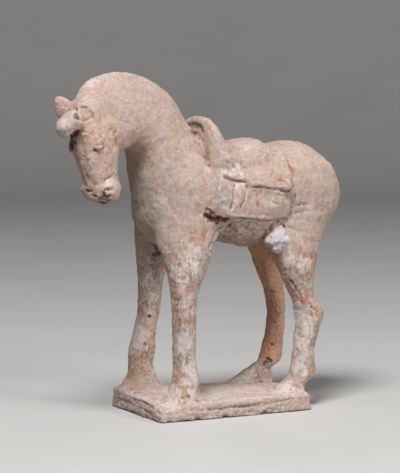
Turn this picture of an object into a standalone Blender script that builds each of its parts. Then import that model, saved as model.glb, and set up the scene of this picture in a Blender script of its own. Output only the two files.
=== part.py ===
"""A saddled pottery tomb horse on its slab plinth, one piece of fired clay.

The horse faces -X with its left flank to -Y, and +Z is up. The origin is the centre of the plinth's
underside. Sizes are written in millimetres and turned into metres where a mesh is made.
"""

import math
from collections import namedtuple

import bmesh
import bpy
import numpy as np
from mathutils import Matrix, Vector, noise

MM = 0.001

# Driving dimensions, in millimetres
PLINTH_LENGTH = 151.0
PLINTH_WIDTH = 105.0
PLINTH_THICKNESS = 15.5
CREST_HEIGHT = 300.0
BACK_HEIGHT = 227.0
BELLY_HEIGHT = 143.0
BARREL_HALF_WIDTH = 39.0
LEG_SPREAD = 30.0
LEG_HALF_WIDTH = 10.0
SADDLE_FRONT = -17.0
SEAT_HEIGHT = 237.5
POMMEL_HEIGHT = 260.0
FLAP_LIFT = 2.6
CLOTH_LIFT = 5.2
STRAP_LIFT = 1.4
STRAP_HALF_WIDTH = 4.2
STRAP_DEPTH = 5.0

# The barrel's section: how much narrower it is above than below, and how square (2 is an ellipse)
BARREL_NARROW = 0.10
BARREL_SQUARE = 2.2
HEAD_SQUARE = 2.3

# The middle of the head between the eyes, and how it is turned, tucked and tilted, in degrees
EYE_LINE = (-123.5, -22.5, 235.0)
HEAD_TURN = 31.5
HEAD_TUCK = 10.0
HEAD_TILT = 7.0

# The block that cuts the underside flat: how far it reaches out and down
GROUND_REACH = 200.0
GROUND_DEPTH = 60.0

# How finely the clay is cut up
RING_SIDES = 28
RINGS_PER_STATION = 5
BODY_VOXEL = 2.0
BODY_SMOOTHING = 9
DETAIL_VOXEL = 1.25
DETAIL_SMOOTHING = 2
TRIANGLE_SHARE = 0.0355

# The leaf of an ear: how far up it, half width, half thickness
EAR_LEAF = (
    (0.0, 6.0, 3.5),
    (0.2, 8.2, 4.0),
    (0.45, 8.6, 3.8),
    (0.7, 7.0, 3.2),
    (0.9, 4.2, 2.4),
    (1.0, 1.5, 1.0),
)

# The hems of the lower flap and of the cloth above it, as (along, height)
FLAP_HEM = ((-23, 178), (-16, 175), (-6, 171.5), (12, 171), (32, 168), (52, 170), (57, 173))
CLOTH_HEM = (
    (-10, 213),
    (-4, 209),
    (2, 205.5),
    (10, 203),
    (16, 202),
    (17.5, 195.5),
    (24, 197.5),
    (40, 194.5),
    (58, 191),
)

# How far back the flap's front edge lies at each height, and no set-back for a straight edge
FLAP_FRONT = ((178, 0), (200, 5), (222, 9.5), (238, 12), (250, 8))
STRAIGHT_FRONT = ((0, 0),)

# A cloth is cut into this many steps along, rooted this deep in the barrel, and rises from a share
# of its lift to all of it over its first part. Behind the seat it sinks into the back.
CLOTH_STEPS = 40
CLOTH_ROOT = 5.0
CLOTH_RISE = 14.0
CLOTH_LEAST_LIFT = 0.25
SEAT_END = 48.0
SINK_LENGTH = 12.0
SINK_SHARE = 0.85

# The slab's outline is cut into these many steps along and across
SLAB_COLUMNS = 48
SLAB_ROWS = 34
SLAB_RIM = 6.0

# A ring of the clay: its highest (or foremost) and lowest (or hindmost) point, its half width,
# how far it narrows towards the first point, and how square it is (2 is an ellipse).
Ring = namedtuple("Ring", "first last half_width narrow square", defaults=(0.0, 2.0))

Leg = namedtuple("Leg", "height fore aft half_width spread")


def barrel_rings():
    """The trunk from the breast to the buttocks, one upright ring per station."""
    top, belly, wide = BACK_HEIGHT, BELLY_HEIGHT, BARREL_HALF_WIDTH
    stations = (
        # along, back, underside, half width
        (-72, top - 32, belly + 30, wide * 0.30),
        (-68, top - 20, belly + 20, wide * 0.56),
        (-58, top - 6, belly + 9, wide * 0.78),
        (-40, top + 6, belly + 4, wide * 0.92),
        (-15, top + 5, belly + 9.5, wide * 0.97),
        (10, top - 1, belly + 5, wide * 1.00),
        (32, top, belly + 1, wide * 1.02),
        (52, top + 6, belly + 8, wide * 1.02),
        (75, top + 10, belly + 13, wide * 1.03),
        (94, top + 5.5, belly + 16, wide * 1.00),
        (108.5, top - 5.5, belly + 23, wide * 0.86),
        (117.5, top - 20, belly + 34, wide * 0.62),
        (121, top - 34, belly + 44, wide * 0.30),
    )
    return [
        Ring((x, 0, high), (x, 0, low), half, BARREL_NARROW, BARREL_SQUARE)
        for x, high, low, half in stations
    ]


def neck_rings():
    """The arched neck, from the shoulders to the poll, bending to the horse's left."""
    crest = CREST_HEIGHT
    return [
        Ring((-8, 0, crest - 71), (-60, 0, crest - 143), 34, 0.15),
        Ring((-18, 0, crest - 57), (-73, -1, crest - 115), 30, 0.25),
        Ring((-29, 0, crest - 39), (-77, -2, crest - 91), 25, 0.35),
        Ring((-42, -2, crest - 21), (-80, -5, crest - 73), 21.5, 0.40),
        Ring((-62, -5, crest - 8), (-87, -9, crest - 66), 19, 0.40),
        Ring((-90, -8, crest - 0.5), (-97, -13, crest - 70), 18, 0.35),
        Ring((-114, -12, crest - 3), (-106, -17, crest - 69), 17, 0.30),
        Ring((-132, -16, crest - 13), (-115, -20, crest - 62), 15.5, 0.25),
        Ring((-139, -18, crest - 26), (-122, -22, crest - 54), 11, 0.20),
    ]


def head_matrix():
    """Takes head axes (x to its right, y out of the face, z up from the eyes) to the horse's."""
    turn = Matrix.Rotation(math.radians(90 + HEAD_TURN), 4, "Z")
    tilt = Matrix.Rotation(math.radians(HEAD_TILT), 4, "Y")
    tuck = Matrix.Rotation(math.radians(-HEAD_TUCK), 4, "X")
    return Matrix.Translation(EYE_LINE) @ turn @ tilt @ tuck


def head_rings():
    """The head from poll to lips: each ring has the face in front and the jaw behind."""
    stations = (
        # face height, face depth, jaw height, jaw depth, half width, narrower in front
        (46, 5, 46, 8, 7, 0.0),
        (38, 13, 38, 15, 13, 0.0),
        (24, 17, 24, 18, 16, 0.05),
        (8, 19.5, 8, 19.5, 17, 0.05),
        (-4, 19.5, -4, 19.5, 17, 0.10),
        (-15, 18, -16, 17.5, 15.2, 0.15),
        (-25, 16.5, -27, 14.5, 14.0, 0.15),
        (-33, 16, -35, 14, 15, 0.10),
        (-39, 16, -42, 13.5, 15.2, 0.05),
        (-43, 12.5, -48, 11, 12, 0.0),
        (-45, 6, -50.5, 6, 6, 0.0),
    )
    place = head_matrix()
    return [
        Ring(
            tuple(place @ Vector((0, face, face_height))),
            tuple(place @ Vector((0, -jaw, jaw_height))),
            half,
            narrow,
            HEAD_SQUARE,
        )
        for face_height, face, jaw_height, jaw, half, narrow in stations
    ]


def in_head_axes(rings):
    """The same rings, moved from head axes to the horse's."""
    place = head_matrix()
    return [
        ring._replace(
            first=tuple(place @ Vector(ring.first)), last=tuple(place @ Vector(ring.last))
        )
        for ring in rings
    ]


def ear_rings(side, size=1.0, forward=0.0, down=0.0):
    """A pricked ear, one leaf-shaped ring above another; side +1 is its right ear.

    size, forward and down give the smaller leaf, standing before the ear, that hollows it.
    """
    if side > 0:
        root, tip = Vector((9.5, 9, 26)), Vector((18, 13, 50))
        across = Vector((0.5, 0.4, -0.68))
    else:
        root, tip = Vector((-11.5, 8.5, 22)), Vector((-3.5, 13.5, 42.5))
        across = Vector((-0.75, -0.45, 0.5))
    axis = tip - root
    across = (across - axis * (across.dot(axis) / axis.length_squared)).normalized()
    facing = across.cross(axis).normalized()
    if facing.y < 0:
        facing = -facing
    middle = (root + tip) / 2
    rings = []
    for step, width, half_thick in EAR_LEAF:
        at = middle + (root.lerp(tip, step) - middle) * size
        at += facing * forward - axis.normalized() * down
        edge = across * width * size
        rings.append(Ring(tuple(at + edge), tuple(at - edge), half_thick))
    return in_head_axes(rings)


def forelock_rings():
    """The tuft gathered between the ears and standing forward, blunt at its end."""
    path = (
        # middle, half height, half width
        ((-2, 10, 30), 7, 8),
        ((0, 18, 29), 7.5, 9),
        ((4, 25, 26), 8.0, 8.5),
        ((7.5, 30, 23), 7.6, 7.5),
        ((9, 33.5, 21), 4.5, 4),
    )
    rings = []
    for middle, high, half_width in path:
        middle = Vector(middle)
        rise = Vector((-0.25, 0.35, 1)).normalized() * high
        high_point, low_point = tuple(middle + rise), tuple(middle - rise)
        rings.append(Ring(high_point, low_point, half_width, 0.0, HEAD_SQUARE))
    return in_head_axes(rings)


def foreleg_rings(side):
    """A foreleg from the shoulder down; the right one (side +1) steps a little forward."""
    wide, spread = LEG_HALF_WIDTH, LEG_SPREAD
    left = (
        Leg(225, -50, -14, wide * 1.2, spread - 16),
        Leg(205, -58, -12, wide * 1.6, spread - 12),
        Leg(185, -63, -8, wide * 1.7, spread - 10),
        Leg(165, -66, -7, wide * 1.65, spread - 8),
        Leg(148, -64, -11, wide * 1.5, spread - 5),
        Leg(130, -59, -19, wide * 1.3, spread - 1),
        Leg(112, -55, -28, wide * 1.15, spread),
        Leg(95, -53.5, -31, wide * 1.05, spread),
        Leg(80, -53.5, -31, wide * 1.08, spread),
        Leg(60, -52.5, -31.5, wide * 0.98, spread),
        Leg(46, -52.5, -31, wide * 0.98, spread),
        Leg(37, -53, -28, wide * 1.05, spread),
        Leg(31, -54, -27, wide * 1.15, spread),
        Leg(25, -56, -29, wide * 1.2, spread),
        Leg(19, -59, -26, wide * 1.35, spread),
        Leg(8, -66, -23, wide * 1.6, spread),
    )
    right = (
        Leg(225, -50, -14, wide * 1.2, spread - 16),
        Leg(205, -58, -12, wide * 1.6, spread - 12),
        Leg(185, -63, -12, wide * 1.7, spread - 10),
        Leg(165, -64, -16, wide * 1.6, spread - 8),
        Leg(148, -62, -22, wide * 1.45, spread - 5),
        Leg(130, -59, -30, wide * 1.25, spread - 1),
        Leg(112, -57, -33, wide * 1.1, spread),
        Leg(95, -57, -35, wide * 1.0, spread),
        Leg(80, -59, -38.5, wide * 1.0, spread),
        Leg(64, -63, -41, wide * 1.0, spread),
        Leg(54, -66.5, -40.5, wide * 1.05, spread),
        Leg(46, -66.5, -43, wide * 1.08, spread),
        Leg(34, -67, -42.5, wide * 1.2, spread),
        Leg(27, -69, -40, wide * 1.4, spread),
        Leg(22, -73.5, -36, wide * 1.65, spread),
        Leg(8, -77, -28, wide * 1.9, spread),
    )
    return leg_rings(left if side < 0 else right, side)


def hindleg_rings(side):
    """A hind leg from the hip to the plinth, its hock behind; the right one (side +1) stands back."""
    wide, spread = LEG_HALF_WIDTH, LEG_SPREAD
    left = (
        Leg(218, 66, 112, wide * 1.2, spread - 12),
        Leg(200, 54, 116.5, wide * 1.7, spread - 10),
        Leg(180, 47, 117, wide * 1.9, spread - 9),
        Leg(163, 43, 105, wide * 1.85, spread - 7),
        Leg(147, 43, 95, wide * 1.65, spread - 3),
        Leg(131, 48, 90, wide * 1.4, spread),
        Leg(115, 55.5, 86.5, wide * 1.15, spread),
        Leg(101, 63.5, 86.5, wide * 1.0, spread),
        Leg(91, 67, 94.5, wide * 1.0, spread),
        Leg(84, 68.5, 98, wide * 1.03, spread),
        Leg(77, 69, 96.5, wide * 1.03, spread),
        Leg(66, 68, 92, wide * 0.98, spread),
        Leg(54, 67, 88, wide * 0.94, spread),
        Leg(40, 65.5, 88.5, wide * 0.97, spread),
        Leg(32, 63.5, 89.5, wide * 1.05, spread),
        Leg(27.5, 62, 88.5, wide * 1.05, spread),
        Leg(25, 61, 86, wide * 1.05, spread),
        Leg(22.5, 59, 78, wide * 1.07, spread),
        Leg(18, 55, 77.5, wide * 1.15, spread),
        Leg(8, 48, 78, wide * 1.35, spread),
    )
    right = (
        Leg(218, 66, 112, wide * 1.2, spread - 12),
        Leg(200, 54, 116.5, wide * 1.7, spread - 10),
        Leg(180, 47, 117, wide * 1.9, spread - 9),
        Leg(163, 44, 105, wide * 1.85, spread - 7),
        Leg(147, 48, 96, wide * 1.65, spread - 3),
        Leg(131, 57, 91, wide * 1.4, spread),
        Leg(115, 64, 89, wide * 1.15, spread),
        Leg(100, 70.5, 89.5, wide * 1.0, spread),
        Leg(90, 73, 90.5, wide * 1.0, spread),
        Leg(79, 74.5, 91.5, wide * 1.05, spread),
        Leg(66, 73.5, 91.5, wide * 0.98, spread),
        Leg(54, 70.5, 89.5, wide * 0.92, spread),
        Leg(40, 66.5, 88.5, wide * 0.97, spread),
        Leg(35, 65, 88, wide * 1.02, spread),
        Leg(31.5, 64, 86, wide * 1.02, spread),
        Leg(29, 62.5, 78, wide * 1.04, spread),
        Leg(25, 60.5, 77, wide * 1.06, spread),
        Leg(20, 58, 78, wide * 1.12, spread),
        Leg(8, 48, 78, wide * 1.35, spread),
    )
    return leg_rings(left if side < 0 else right, side)


def leg_rings(stations, side):
    return [
        Ring(
            (leg.fore, side * leg.spread, leg.height),
            (leg.aft, side * leg.spread, leg.height),
            leg.half_width,
        )
        for leg in stations
    ]


def toe_rings(side):
    """The clay drawn forward from a hind hoof onto the plinth, longer on the right (side +1)."""
    left = (
        # along, height, half width
        (72, 33, 9),
        (60, 26, 12),
        (50, 20, 12),
        (40, 16, 8),
    )
    right = (
        (72, 35, 9),
        (62, 33, 12),
        (52, 27, 13),
        (42, 20, 13),
        (32, 15.5, 12),
        (22, 12, 8),
    )
    low = PLINTH_THICKNESS - 9
    y = side * LEG_SPREAD
    return [
        Ring((x, y, high), (x, y, low), half, 0.2)
        for x, high, half in (left if side < 0 else right)
    ]


def barrel_side(x, z):
    """How far out the barrel's skin is at a place along it and a height."""
    rows = np.array([(r.first[0], r.first[2], r.last[2], r.half_width) for r in barrel_rings()])
    top, under, half_width = eased(rows[:, 1:], rows[:, 0], np.array([float(x)]))[0]
    share = max(-1.0, min(1.0, (2 * z - top - under) / (top - under)))
    s = math.copysign(abs(share) ** (BARREL_SQUARE / 2), share)
    across = math.sqrt(1 - s * s) ** (2 / BARREL_SQUARE)
    return half_width * across * (1 - BARREL_NARROW * s)


def strap_rings(side):
    """The strap hanging from the saddle across the lower flap."""
    path = ((206, 13), (198, 11.5), (188, 9), (178, 5), (170, 1.5))
    rings = []
    for z, x in path:
        y = side * (barrel_side(x, z) + FLAP_LIFT + STRAP_LIFT)
        root = (x, y - side * STRAP_DEPTH, z)
        rings.append(Ring((x, y, z), root, STRAP_HALF_WIDTH, 0.0, 3.0))
    return rings


def tail_rings():
    """The docked tail, lying flat against the buttocks."""
    stations = (
        # height, out to, half width
        (202, 115, 5),
        (195, 119.5, 6),
        (187, 123, 7),
        (178, 124.5, 7),
        (169, 123, 6),
        (162, 118, 4),
    )
    return [Ring((out, 0, z), (out - 12, 0, z), half) for z, out, half in stations]


def saddle_rings():
    """The saddle: a tall front arch falling to the seat and ending low behind."""
    seat, pommel, front = SEAT_HEIGHT, POMMEL_HEIGHT, SADDLE_FRONT
    base = BACK_HEIGHT - 22
    stations = (
        # along, top, half width, square
        (front, pommel - 4, 29, 2.6),
        (front + 3, pommel, 32.5, 3.0),
        (front + 7, pommel - 0.5, 34.5, 3.0),
        (front + 12, pommel - 6.5, 34.5, 2.8),
        (front + 19, seat + 5.5, 34, 2.5),
        (front + 27, seat, 32, 2.3),
        (front + 47, seat + 2.5, 32, 2.3),
        (front + 58, seat + 1.5, 31, 2.2),
        (front + 64, seat - 1.5, 29, 2.2),
        (front + 67, seat - 7, 25, 2.2),
    )
    return [
        Ring((x, 0, top), (x, 0, base), half, 0.12, square)
        for x, top, half, square in stations
    ]


def draped_cloth(low_edge, lift, front_edge=STRAIGHT_FRONT):
    """A cloth over the barrel between two ends: low_edge lists (along, height) of its hem.

    It lies level with the shoulder in front and stands out by its full lift behind. front_edge
    lists (height, how far back its front edge is there).
    """
    barrel = barrel_rings()
    table = np.array([(r.first[0], r.first[2], r.last[2], r.half_width) for r in barrel])
    hem = np.array(low_edge, float)
    bm = bmesh.new()
    loops = []
    for x in np.linspace(hem[0, 0], hem[-1, 0], CLOTH_STEPS):
        top, under, half_width = eased(table[:, 1:], table[:, 0], np.array([x]))[0]
        hem_height = np.interp(x, hem[:, 0], hem[:, 1])
        risen = min(1.0, (x - hem[0, 0]) / CLOTH_RISE)
        here = lift * (CLOTH_LEAST_LIFT + (1 - CLOTH_LEAST_LIFT) * risen)
        fade = SINK_SHARE * min(1.0, max(0.0, (x - SEAT_END) / SINK_LENGTH + 1))
        outer = cloth_line(top, under, half_width, hem_height, x, here, fade)
        inner = cloth_line(top, under, half_width, hem_height, x, -CLOTH_ROOT)
        near_front = 1 - (x - hem[0, 0]) / (hem[-1, 0] - hem[0, 0])
        loop = []
        for point in outer + inner[::-1]:
            back = np.interp(point.z, *np.array(front_edge, float).T)
            point.x += back * near_front**2
            loop.append(bm.verts.new(point))
        loops.append(loop)
    return skinned(bm, loops)


def cloth_line(top, under, half_width, hem_height, x, lift, fade=0.0):
    """Points from the hem on its left, over the back, to the hem on its right.

    fade is the share of the lift that is lost along the top of the back.
    """
    middle, half_height = (top + under) / 2, (top - under) / 2
    share = max(-1.0, min(1.0, (hem_height - middle) / half_height))
    start = math.copysign(math.asin(abs(share) ** (BARREL_SQUARE / 2)), share)
    points = []
    for k in range(RING_SIDES + 1):
        angle = start + (math.pi - 2 * start) * k / RING_SIDES
        c, s = math.cos(angle), math.sin(angle)
        across = math.copysign(abs(c) ** (2 / BARREL_SQUARE), c) * (1 - BARREL_NARROW * s)
        rise = math.copysign(abs(s) ** (2 / BARREL_SQUARE), s)
        out = Vector((0, c, s * 0.9)).normalized() * lift * (1 - fade * max(0.0, s) ** 3)
        points.append(Vector((x, half_width * across, middle + half_height * rise)) + out)
    return points


def lump(middle, radii, roughness=0.0, turn=(0, 0, 0)):
    """A ball of clay squashed to three radii, with its skin roughened by so many millimetres."""
    bm = bmesh.new()
    bmesh.ops.create_icosphere(bm, subdivisions=4, radius=1.0)
    spin = Matrix.Rotation(math.radians(turn[2]), 3, "Z") @ Matrix.Rotation(
        math.radians(turn[1]), 3, "Y"
    ) @ Matrix.Rotation(math.radians(turn[0]), 3, "X")
    for vert in bm.verts:
        point = Vector(vert.co[i] * radii[i] for i in range(3))
        point += vert.co * roughness * noise.noise(Vector(middle) + point * 0.35)
        vert.co = Vector(middle) + spin @ point
    return bm


def lump_in_head(middle, radii, turn=(0, 0, 0)):
    """A lump placed and turned in head axes."""
    bm = lump((0, 0, 0), radii, 0.0, turn)
    place = head_matrix() @ Matrix.Translation(middle)
    bmesh.ops.transform(bm, matrix=place, verts=bm.verts)
    return bm


def slab_top(u, v):
    """Height of the plinth's top; u runs -1 to 1 front to back, v from its left to its right."""
    worn_corner = 4.5 * math.exp(-((u + 1) ** 2) / 0.05 - ((v + 1) ** 2) / 0.10)
    low_left = 1.2 * max(0.0, -v) ** 3
    right = max(0.0, v) ** 2
    high_corner = 3.0 * right * math.exp(-((u + 1) ** 2) / 0.08)
    low_right = 3.4 * right * min(1.0, max(0.0, (u + 0.7) / 0.4))
    dish = 1.2 * (1 - u * u) * (1 - v * v)
    uneven = 0.9 * noise.noise(Vector((u * 2.6, v * 1.9, 3.1)))
    return PLINTH_THICKNESS + 0.6 - worn_corner - low_left + high_corner - low_right - dish + uneven


def slab_outline():
    """Places round the slab, from -1 to 1 each way."""
    along = [-1 + 2 * i / SLAB_COLUMNS for i in range(SLAB_COLUMNS)]
    across = [-1 + 2 * j / SLAB_ROWS for j in range(SLAB_ROWS)]
    return (
        [(u, -1) for u in along]
        + [(1, v) for v in across]
        + [(-u, 1) for u in along]
        + [(-1, -v) for v in across]
    )


def plinth():
    """The slab: soft, uneven edges, worn low at its left front corner."""
    levels = (
        # share of the height, in from the full outline
        (-0.6, 0.4),
        (0.0, 0.2),
        (0.15, 0.0),
        (0.45, 0.5),
        (0.62, 1.1),
        (0.72, 0.7),
        (0.90, 1.0),
        (1.0, 2.6),
    )
    bm = bmesh.new()
    loops = []
    for share, inset in levels:
        loop = []
        for u, v in slab_outline():
            height = share * slab_top(u, v)
            worn = inset + 0.9 * noise.noise(Vector((u * 4.5, v * 3.4, share * 3.0)))
            corner = 1.5 * (abs(u) * abs(v)) ** 14
            x = u * (PLINTH_LENGTH / 2 - worn - corner)
            y = v * (PLINTH_WIDTH / 2 - worn - corner)
            loop.append(bm.verts.new((x, y, height)))
        loops.append(loop)
    inner = []
    for u, v in slab_outline():
        x, y = u * (PLINTH_LENGTH / 2 - SLAB_RIM), v * (PLINTH_WIDTH / 2 - SLAB_RIM)
        inner.append(bm.verts.new((x, y, slab_top(u, v) + 0.3)))
    return skinned(bm, loops + [inner])


def skinned(bm, loops):
    """Closes a skin over loops of points that follow each other."""
    for lower, upper in zip(loops[:-1], loops[1:]):
        for k in range(len(lower)):
            j = (k + 1) % len(lower)
            bm.faces.new((lower[k], lower[j], upper[j], upper[k]))
    bm.faces.new(reversed(loops[0]))
    bm.faces.new(loops[-1])
    bmesh.ops.recalc_face_normals(bm, faces=bm.faces)
    return bm


def eased(values, at, where):
    """A smooth curve through values, given at the places `at`, read at the places `where`."""
    values, at = np.asarray(values, float), np.asarray(at, float)
    steps = np.diff(at)
    slopes = np.diff(values, axis=0) / steps[:, None]
    tangents = np.empty_like(values)
    tangents[0], tangents[-1] = slopes[0], slopes[-1]
    tangents[1:-1] = (
        slopes[:-1] * steps[1:, None] + slopes[1:] * steps[:-1, None]
    ) / (steps[1:] + steps[:-1])[:, None]
    index = np.clip(np.searchsorted(at, where, side="right") - 1, 0, len(steps) - 1)
    width = steps[index][:, None]
    t = ((where - at[index]) / steps[index])[:, None]
    return (
        values[index] * (2 * t**3 - 3 * t**2 + 1)
        + tangents[index] * width * (t**3 - 2 * t**2 + t)
        + values[index + 1] * (3 * t**2 - 2 * t**3)
        + tangents[index + 1] * width * (t**3 - t**2)
    )


def loft(rings):
    """A closed skin over the rings, rounded smoothly from each to the next."""
    table = np.array([(*r.first, *r.last, r.half_width, r.narrow, r.square) for r in rings])
    centres = (table[:, 0:3] + table[:, 3:6]) / 2
    at = np.concatenate([[0], np.cumsum(np.linalg.norm(np.diff(centres, axis=0), axis=1))])
    where = np.concatenate(
        [
            np.linspace(a, b, RINGS_PER_STATION, endpoint=False)
            for a, b in zip(at[:-1], at[1:])
        ]
        + [[at[-1]]]
    )
    table = eased(table, at, where)
    centres = (table[:, 0:3] + table[:, 3:6]) / 2
    along = np.gradient(centres, axis=0)
    bm = bmesh.new()
    loops = []
    for row, centre, tangent in zip(table, centres, along):
        up = Vector(row[0:3]) - Vector(row[3:6])
        side = up.cross(Vector(tangent)).normalized()
        half_width, narrow, square = row[6:9]
        loop = []
        for k in range(RING_SIDES):
            angle = 2 * math.pi * k / RING_SIDES
            c, s = math.cos(angle), math.sin(angle)
            across = math.copysign(abs(c) ** (2 / square), c) * (1 - narrow * s)
            rise = math.copysign(abs(s) ** (2 / square), s)
            point = Vector(centre) + up * (rise / 2) + side * (half_width * across)
            loop.append(bm.verts.new(point))
        loops.append(loop)
    return skinned(bm, loops)


def box(low, high):
    """A block between two corners."""
    bm = bmesh.new()
    bmesh.ops.create_cube(bm, size=1.0)
    low, high = Vector(low), Vector(high)
    size = high - low
    place = Matrix.Translation((low + high) / 2) @ Matrix.Diagonal((*size, 1))
    bmesh.ops.transform(bm, matrix=place, verts=bm.verts)
    return bm


def joined(shapes):
    """One mesh of all the shapes, in metres."""
    whole = bmesh.new()
    for shape in shapes:
        mesh = bpy.data.meshes.new("shape")
        shape.to_mesh(mesh)
        shape.free()
        whole.from_mesh(mesh)
        bpy.data.meshes.remove(mesh)
    bmesh.ops.scale(whole, vec=(MM, MM, MM), verts=whole.verts)
    return whole


def clay_material():
    material = bpy.data.materials.new("earthenware")
    material.use_nodes = True
    shader = material.node_tree.nodes["Principled BSDF"]
    shader.inputs["Base Color"].default_value = (0.58, 0.42, 0.33, 1)
    shader.inputs["Roughness"].default_value = 0.9
    shader.inputs["Metallic"].default_value = 0.0
    return material


def put(name, shape, collection):
    mesh = bpy.data.meshes.new(name)
    shape.to_mesh(mesh)
    shape.free()
    thing = bpy.data.objects.new(name, mesh)
    collection.objects.link(thing)
    return thing


def body_shapes():
    """The large masses, which the clay flows over."""
    shapes = [loft(barrel_rings()), loft(neck_rings()), loft(head_rings())]
    for side in (-1, 1):
        shapes += [loft(foreleg_rings(side)), loft(hindleg_rings(side)), loft(toe_rings(side))]
    return shapes


def detail_shapes():
    """What is laid on or stands out from the masses."""
    shapes = [
        plinth(),
        loft(saddle_rings()),
        draped_cloth(FLAP_HEM, FLAP_LIFT, FLAP_FRONT),
        draped_cloth(CLOTH_HEM, CLOTH_LIFT),
        loft(forelock_rings()),
        loft(ear_rings(-1)),
        loft(ear_rings(1)),
        # the knob below the near ear
        lump_in_head((-5, 18, 15.5), (3.0, 2.4, 3.0)),
        # brows and eyeballs
        lump_in_head((-10, 9.4, 6), (7.0, 6.6, 5.8), (0, -15, 0)),
        lump_in_head((11, 10, 3.5), (6.5, 6.5, 7.0), (0, 15, 0)),
        lump_in_head((-13.2, 12.2, 1.4), (3.6, 3.4, 2.4), (0, -20, 0)),
        lump_in_head((13.2, 12.2, 1.4), (3.6, 3.4, 2.4), (0, 20, 0)),
        # jaw discs
        lump_in_head((-11, -6, -5), (6.0, 11.0, 13.0)),
        lump_in_head((11, -6, -5), (6.0, 11.0, 13.0)),
        # nostril rims and lower lip
        lump_in_head((-7.8, 9.6, -34), (6.2, 5.6, 5.0)),
        lump_in_head((8.6, 9.6, -32), (6.2, 5.6, 5.5)),
        lump_in_head((0, -2, -45), (8.0, 7.0, 5.0)),
        loft(strap_rings(-1)),
        loft(strap_rings(1)),
        # plaster at the groin
        lump((46.5, -33.5, 151), (9, 7.5, 11), 3.0),
        # the docked tail, flat against the buttocks
        loft(tail_rings()),
    ]
    return shapes


def hollow_shapes():
    """What is pressed or worn into the clay."""
    return [
        # under the rim of the front arch
        lump((-19, 0, 247), (5.5, 22, 9.0)),
        # inside the ears
        loft(ear_rings(-1, 0.74, 5.2, 1.5)),
        # the broken lower corner of the flap on its left
        lump((-18, -41, 173.5), (8.0, 5.0, 3.5)),
        # nostrils and mouth
        lump_in_head((-9.5, 15, -37), (2.8, 3.2, 2.0)),
        lump_in_head((9.5, 15, -37), (2.8, 3.2, 2.0)),
        lump_in_head((0, 9, -43.5), (14, 7.0, 1.2), (-8, 0, 0)),
    ]


def helper(name, shapes, collection):
    thing = put(name, joined(shapes), collection)
    thing.hide_render = True
    thing.display_type = "WIRE"
    return thing


def fuse(thing, name, voxel, rounds):
    """Fuses overlapping shapes into one skin and softens it."""
    remesh = thing.modifiers.new(name, "REMESH")
    remesh.mode = "VOXEL"
    remesh.voxel_size = voxel * MM
    soften = thing.modifiers.new(name + "_soften", "SMOOTH")
    soften.factor = 0.5
    soften.iterations = rounds


def combine(thing, name, operation, other):
    step = thing.modifiers.new(name, "BOOLEAN")
    step.operation = operation
    step.solver = "EXACT"
    step.object = other


def build():
    for thing in list(bpy.data.objects):
        bpy.data.objects.remove(thing, do_unlink=True)
    parts = bpy.data.collections.new("tomb_horse")
    cutters = bpy.data.collections.new("cutters")
    bpy.context.scene.collection.children.link(parts)
    bpy.context.scene.collection.children.link(cutters)

    horse = put("tomb_horse", joined(body_shapes()), parts)
    horse.data.materials.append(clay_material())
    details = helper("laid_on", detail_shapes(), cutters)
    hollows = helper("hollows", hollow_shapes(), cutters)
    low, high = (-GROUND_REACH, -GROUND_REACH, -GROUND_DEPTH), (GROUND_REACH, GROUND_REACH, 0)
    ground = helper("under_plinth", [box(low, high)], cutters)

    fuse(details, "details", DETAIL_VOXEL, DETAIL_SMOOTHING)
    fuse(hollows, "hollow_skin", DETAIL_VOXEL, 1)
    fuse(horse, "masses", BODY_VOXEL, BODY_SMOOTHING)
    combine(horse, "lay_on", "UNION", details)
    combine(horse, "press_in", "DIFFERENCE", hollows)
    fuse(horse, "one_skin", DETAIL_VOXEL, DETAIL_SMOOTHING)
    thin = horse.modifiers.new("thin", "DECIMATE")
    thin.ratio = TRIANGLE_SHARE
    combine(horse, "flatten", "DIFFERENCE", ground)
    return horse


build()
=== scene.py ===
"""The visible model of a saddled pottery tomb horse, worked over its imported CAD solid.

The horse faces -X with its left flank to -Y. Places on it are millimetres in the frame's axes or, where
they were read from the photograph, its pixels. The head has axes of its own: x to the horse's right, y
out of the face and z up.
"""

import math
from collections import namedtuple

import bpy
import numpy as np
from bpy.props import FloatProperty, FloatVectorProperty, IntProperty, PointerProperty
from mathutils import Matrix, Vector


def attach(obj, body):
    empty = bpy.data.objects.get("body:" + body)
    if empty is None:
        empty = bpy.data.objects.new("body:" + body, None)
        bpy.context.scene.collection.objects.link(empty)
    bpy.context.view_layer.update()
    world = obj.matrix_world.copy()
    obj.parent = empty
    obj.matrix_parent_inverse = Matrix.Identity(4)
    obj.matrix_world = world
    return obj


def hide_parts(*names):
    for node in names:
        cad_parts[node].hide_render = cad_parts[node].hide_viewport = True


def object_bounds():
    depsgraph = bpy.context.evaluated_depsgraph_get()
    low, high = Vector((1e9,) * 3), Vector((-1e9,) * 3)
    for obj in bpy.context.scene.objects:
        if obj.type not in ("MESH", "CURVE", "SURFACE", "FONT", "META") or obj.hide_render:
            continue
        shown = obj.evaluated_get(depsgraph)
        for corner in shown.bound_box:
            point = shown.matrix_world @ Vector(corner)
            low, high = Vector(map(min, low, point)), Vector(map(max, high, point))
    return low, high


bl_info = {
    "name": "Pottery Tomb Horse",
    "version": (1, 0, 0),
    "blender": (4, 5, 0),
    "location": "View3D > Sidebar > Tomb Horse",
    "description": "Works the packed horse into weathered, slip-covered clay and sets its stage",
    "category": "Add Mesh",
}

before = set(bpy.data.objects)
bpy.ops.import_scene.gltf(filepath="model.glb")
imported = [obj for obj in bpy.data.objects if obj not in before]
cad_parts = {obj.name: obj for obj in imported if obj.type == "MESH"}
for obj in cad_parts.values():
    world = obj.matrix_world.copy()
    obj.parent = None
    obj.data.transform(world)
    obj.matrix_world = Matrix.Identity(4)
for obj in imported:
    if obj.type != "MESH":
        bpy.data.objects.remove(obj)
CAD_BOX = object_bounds()

MM = 0.001
HORSE_NODE = "tomb_horse"

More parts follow.
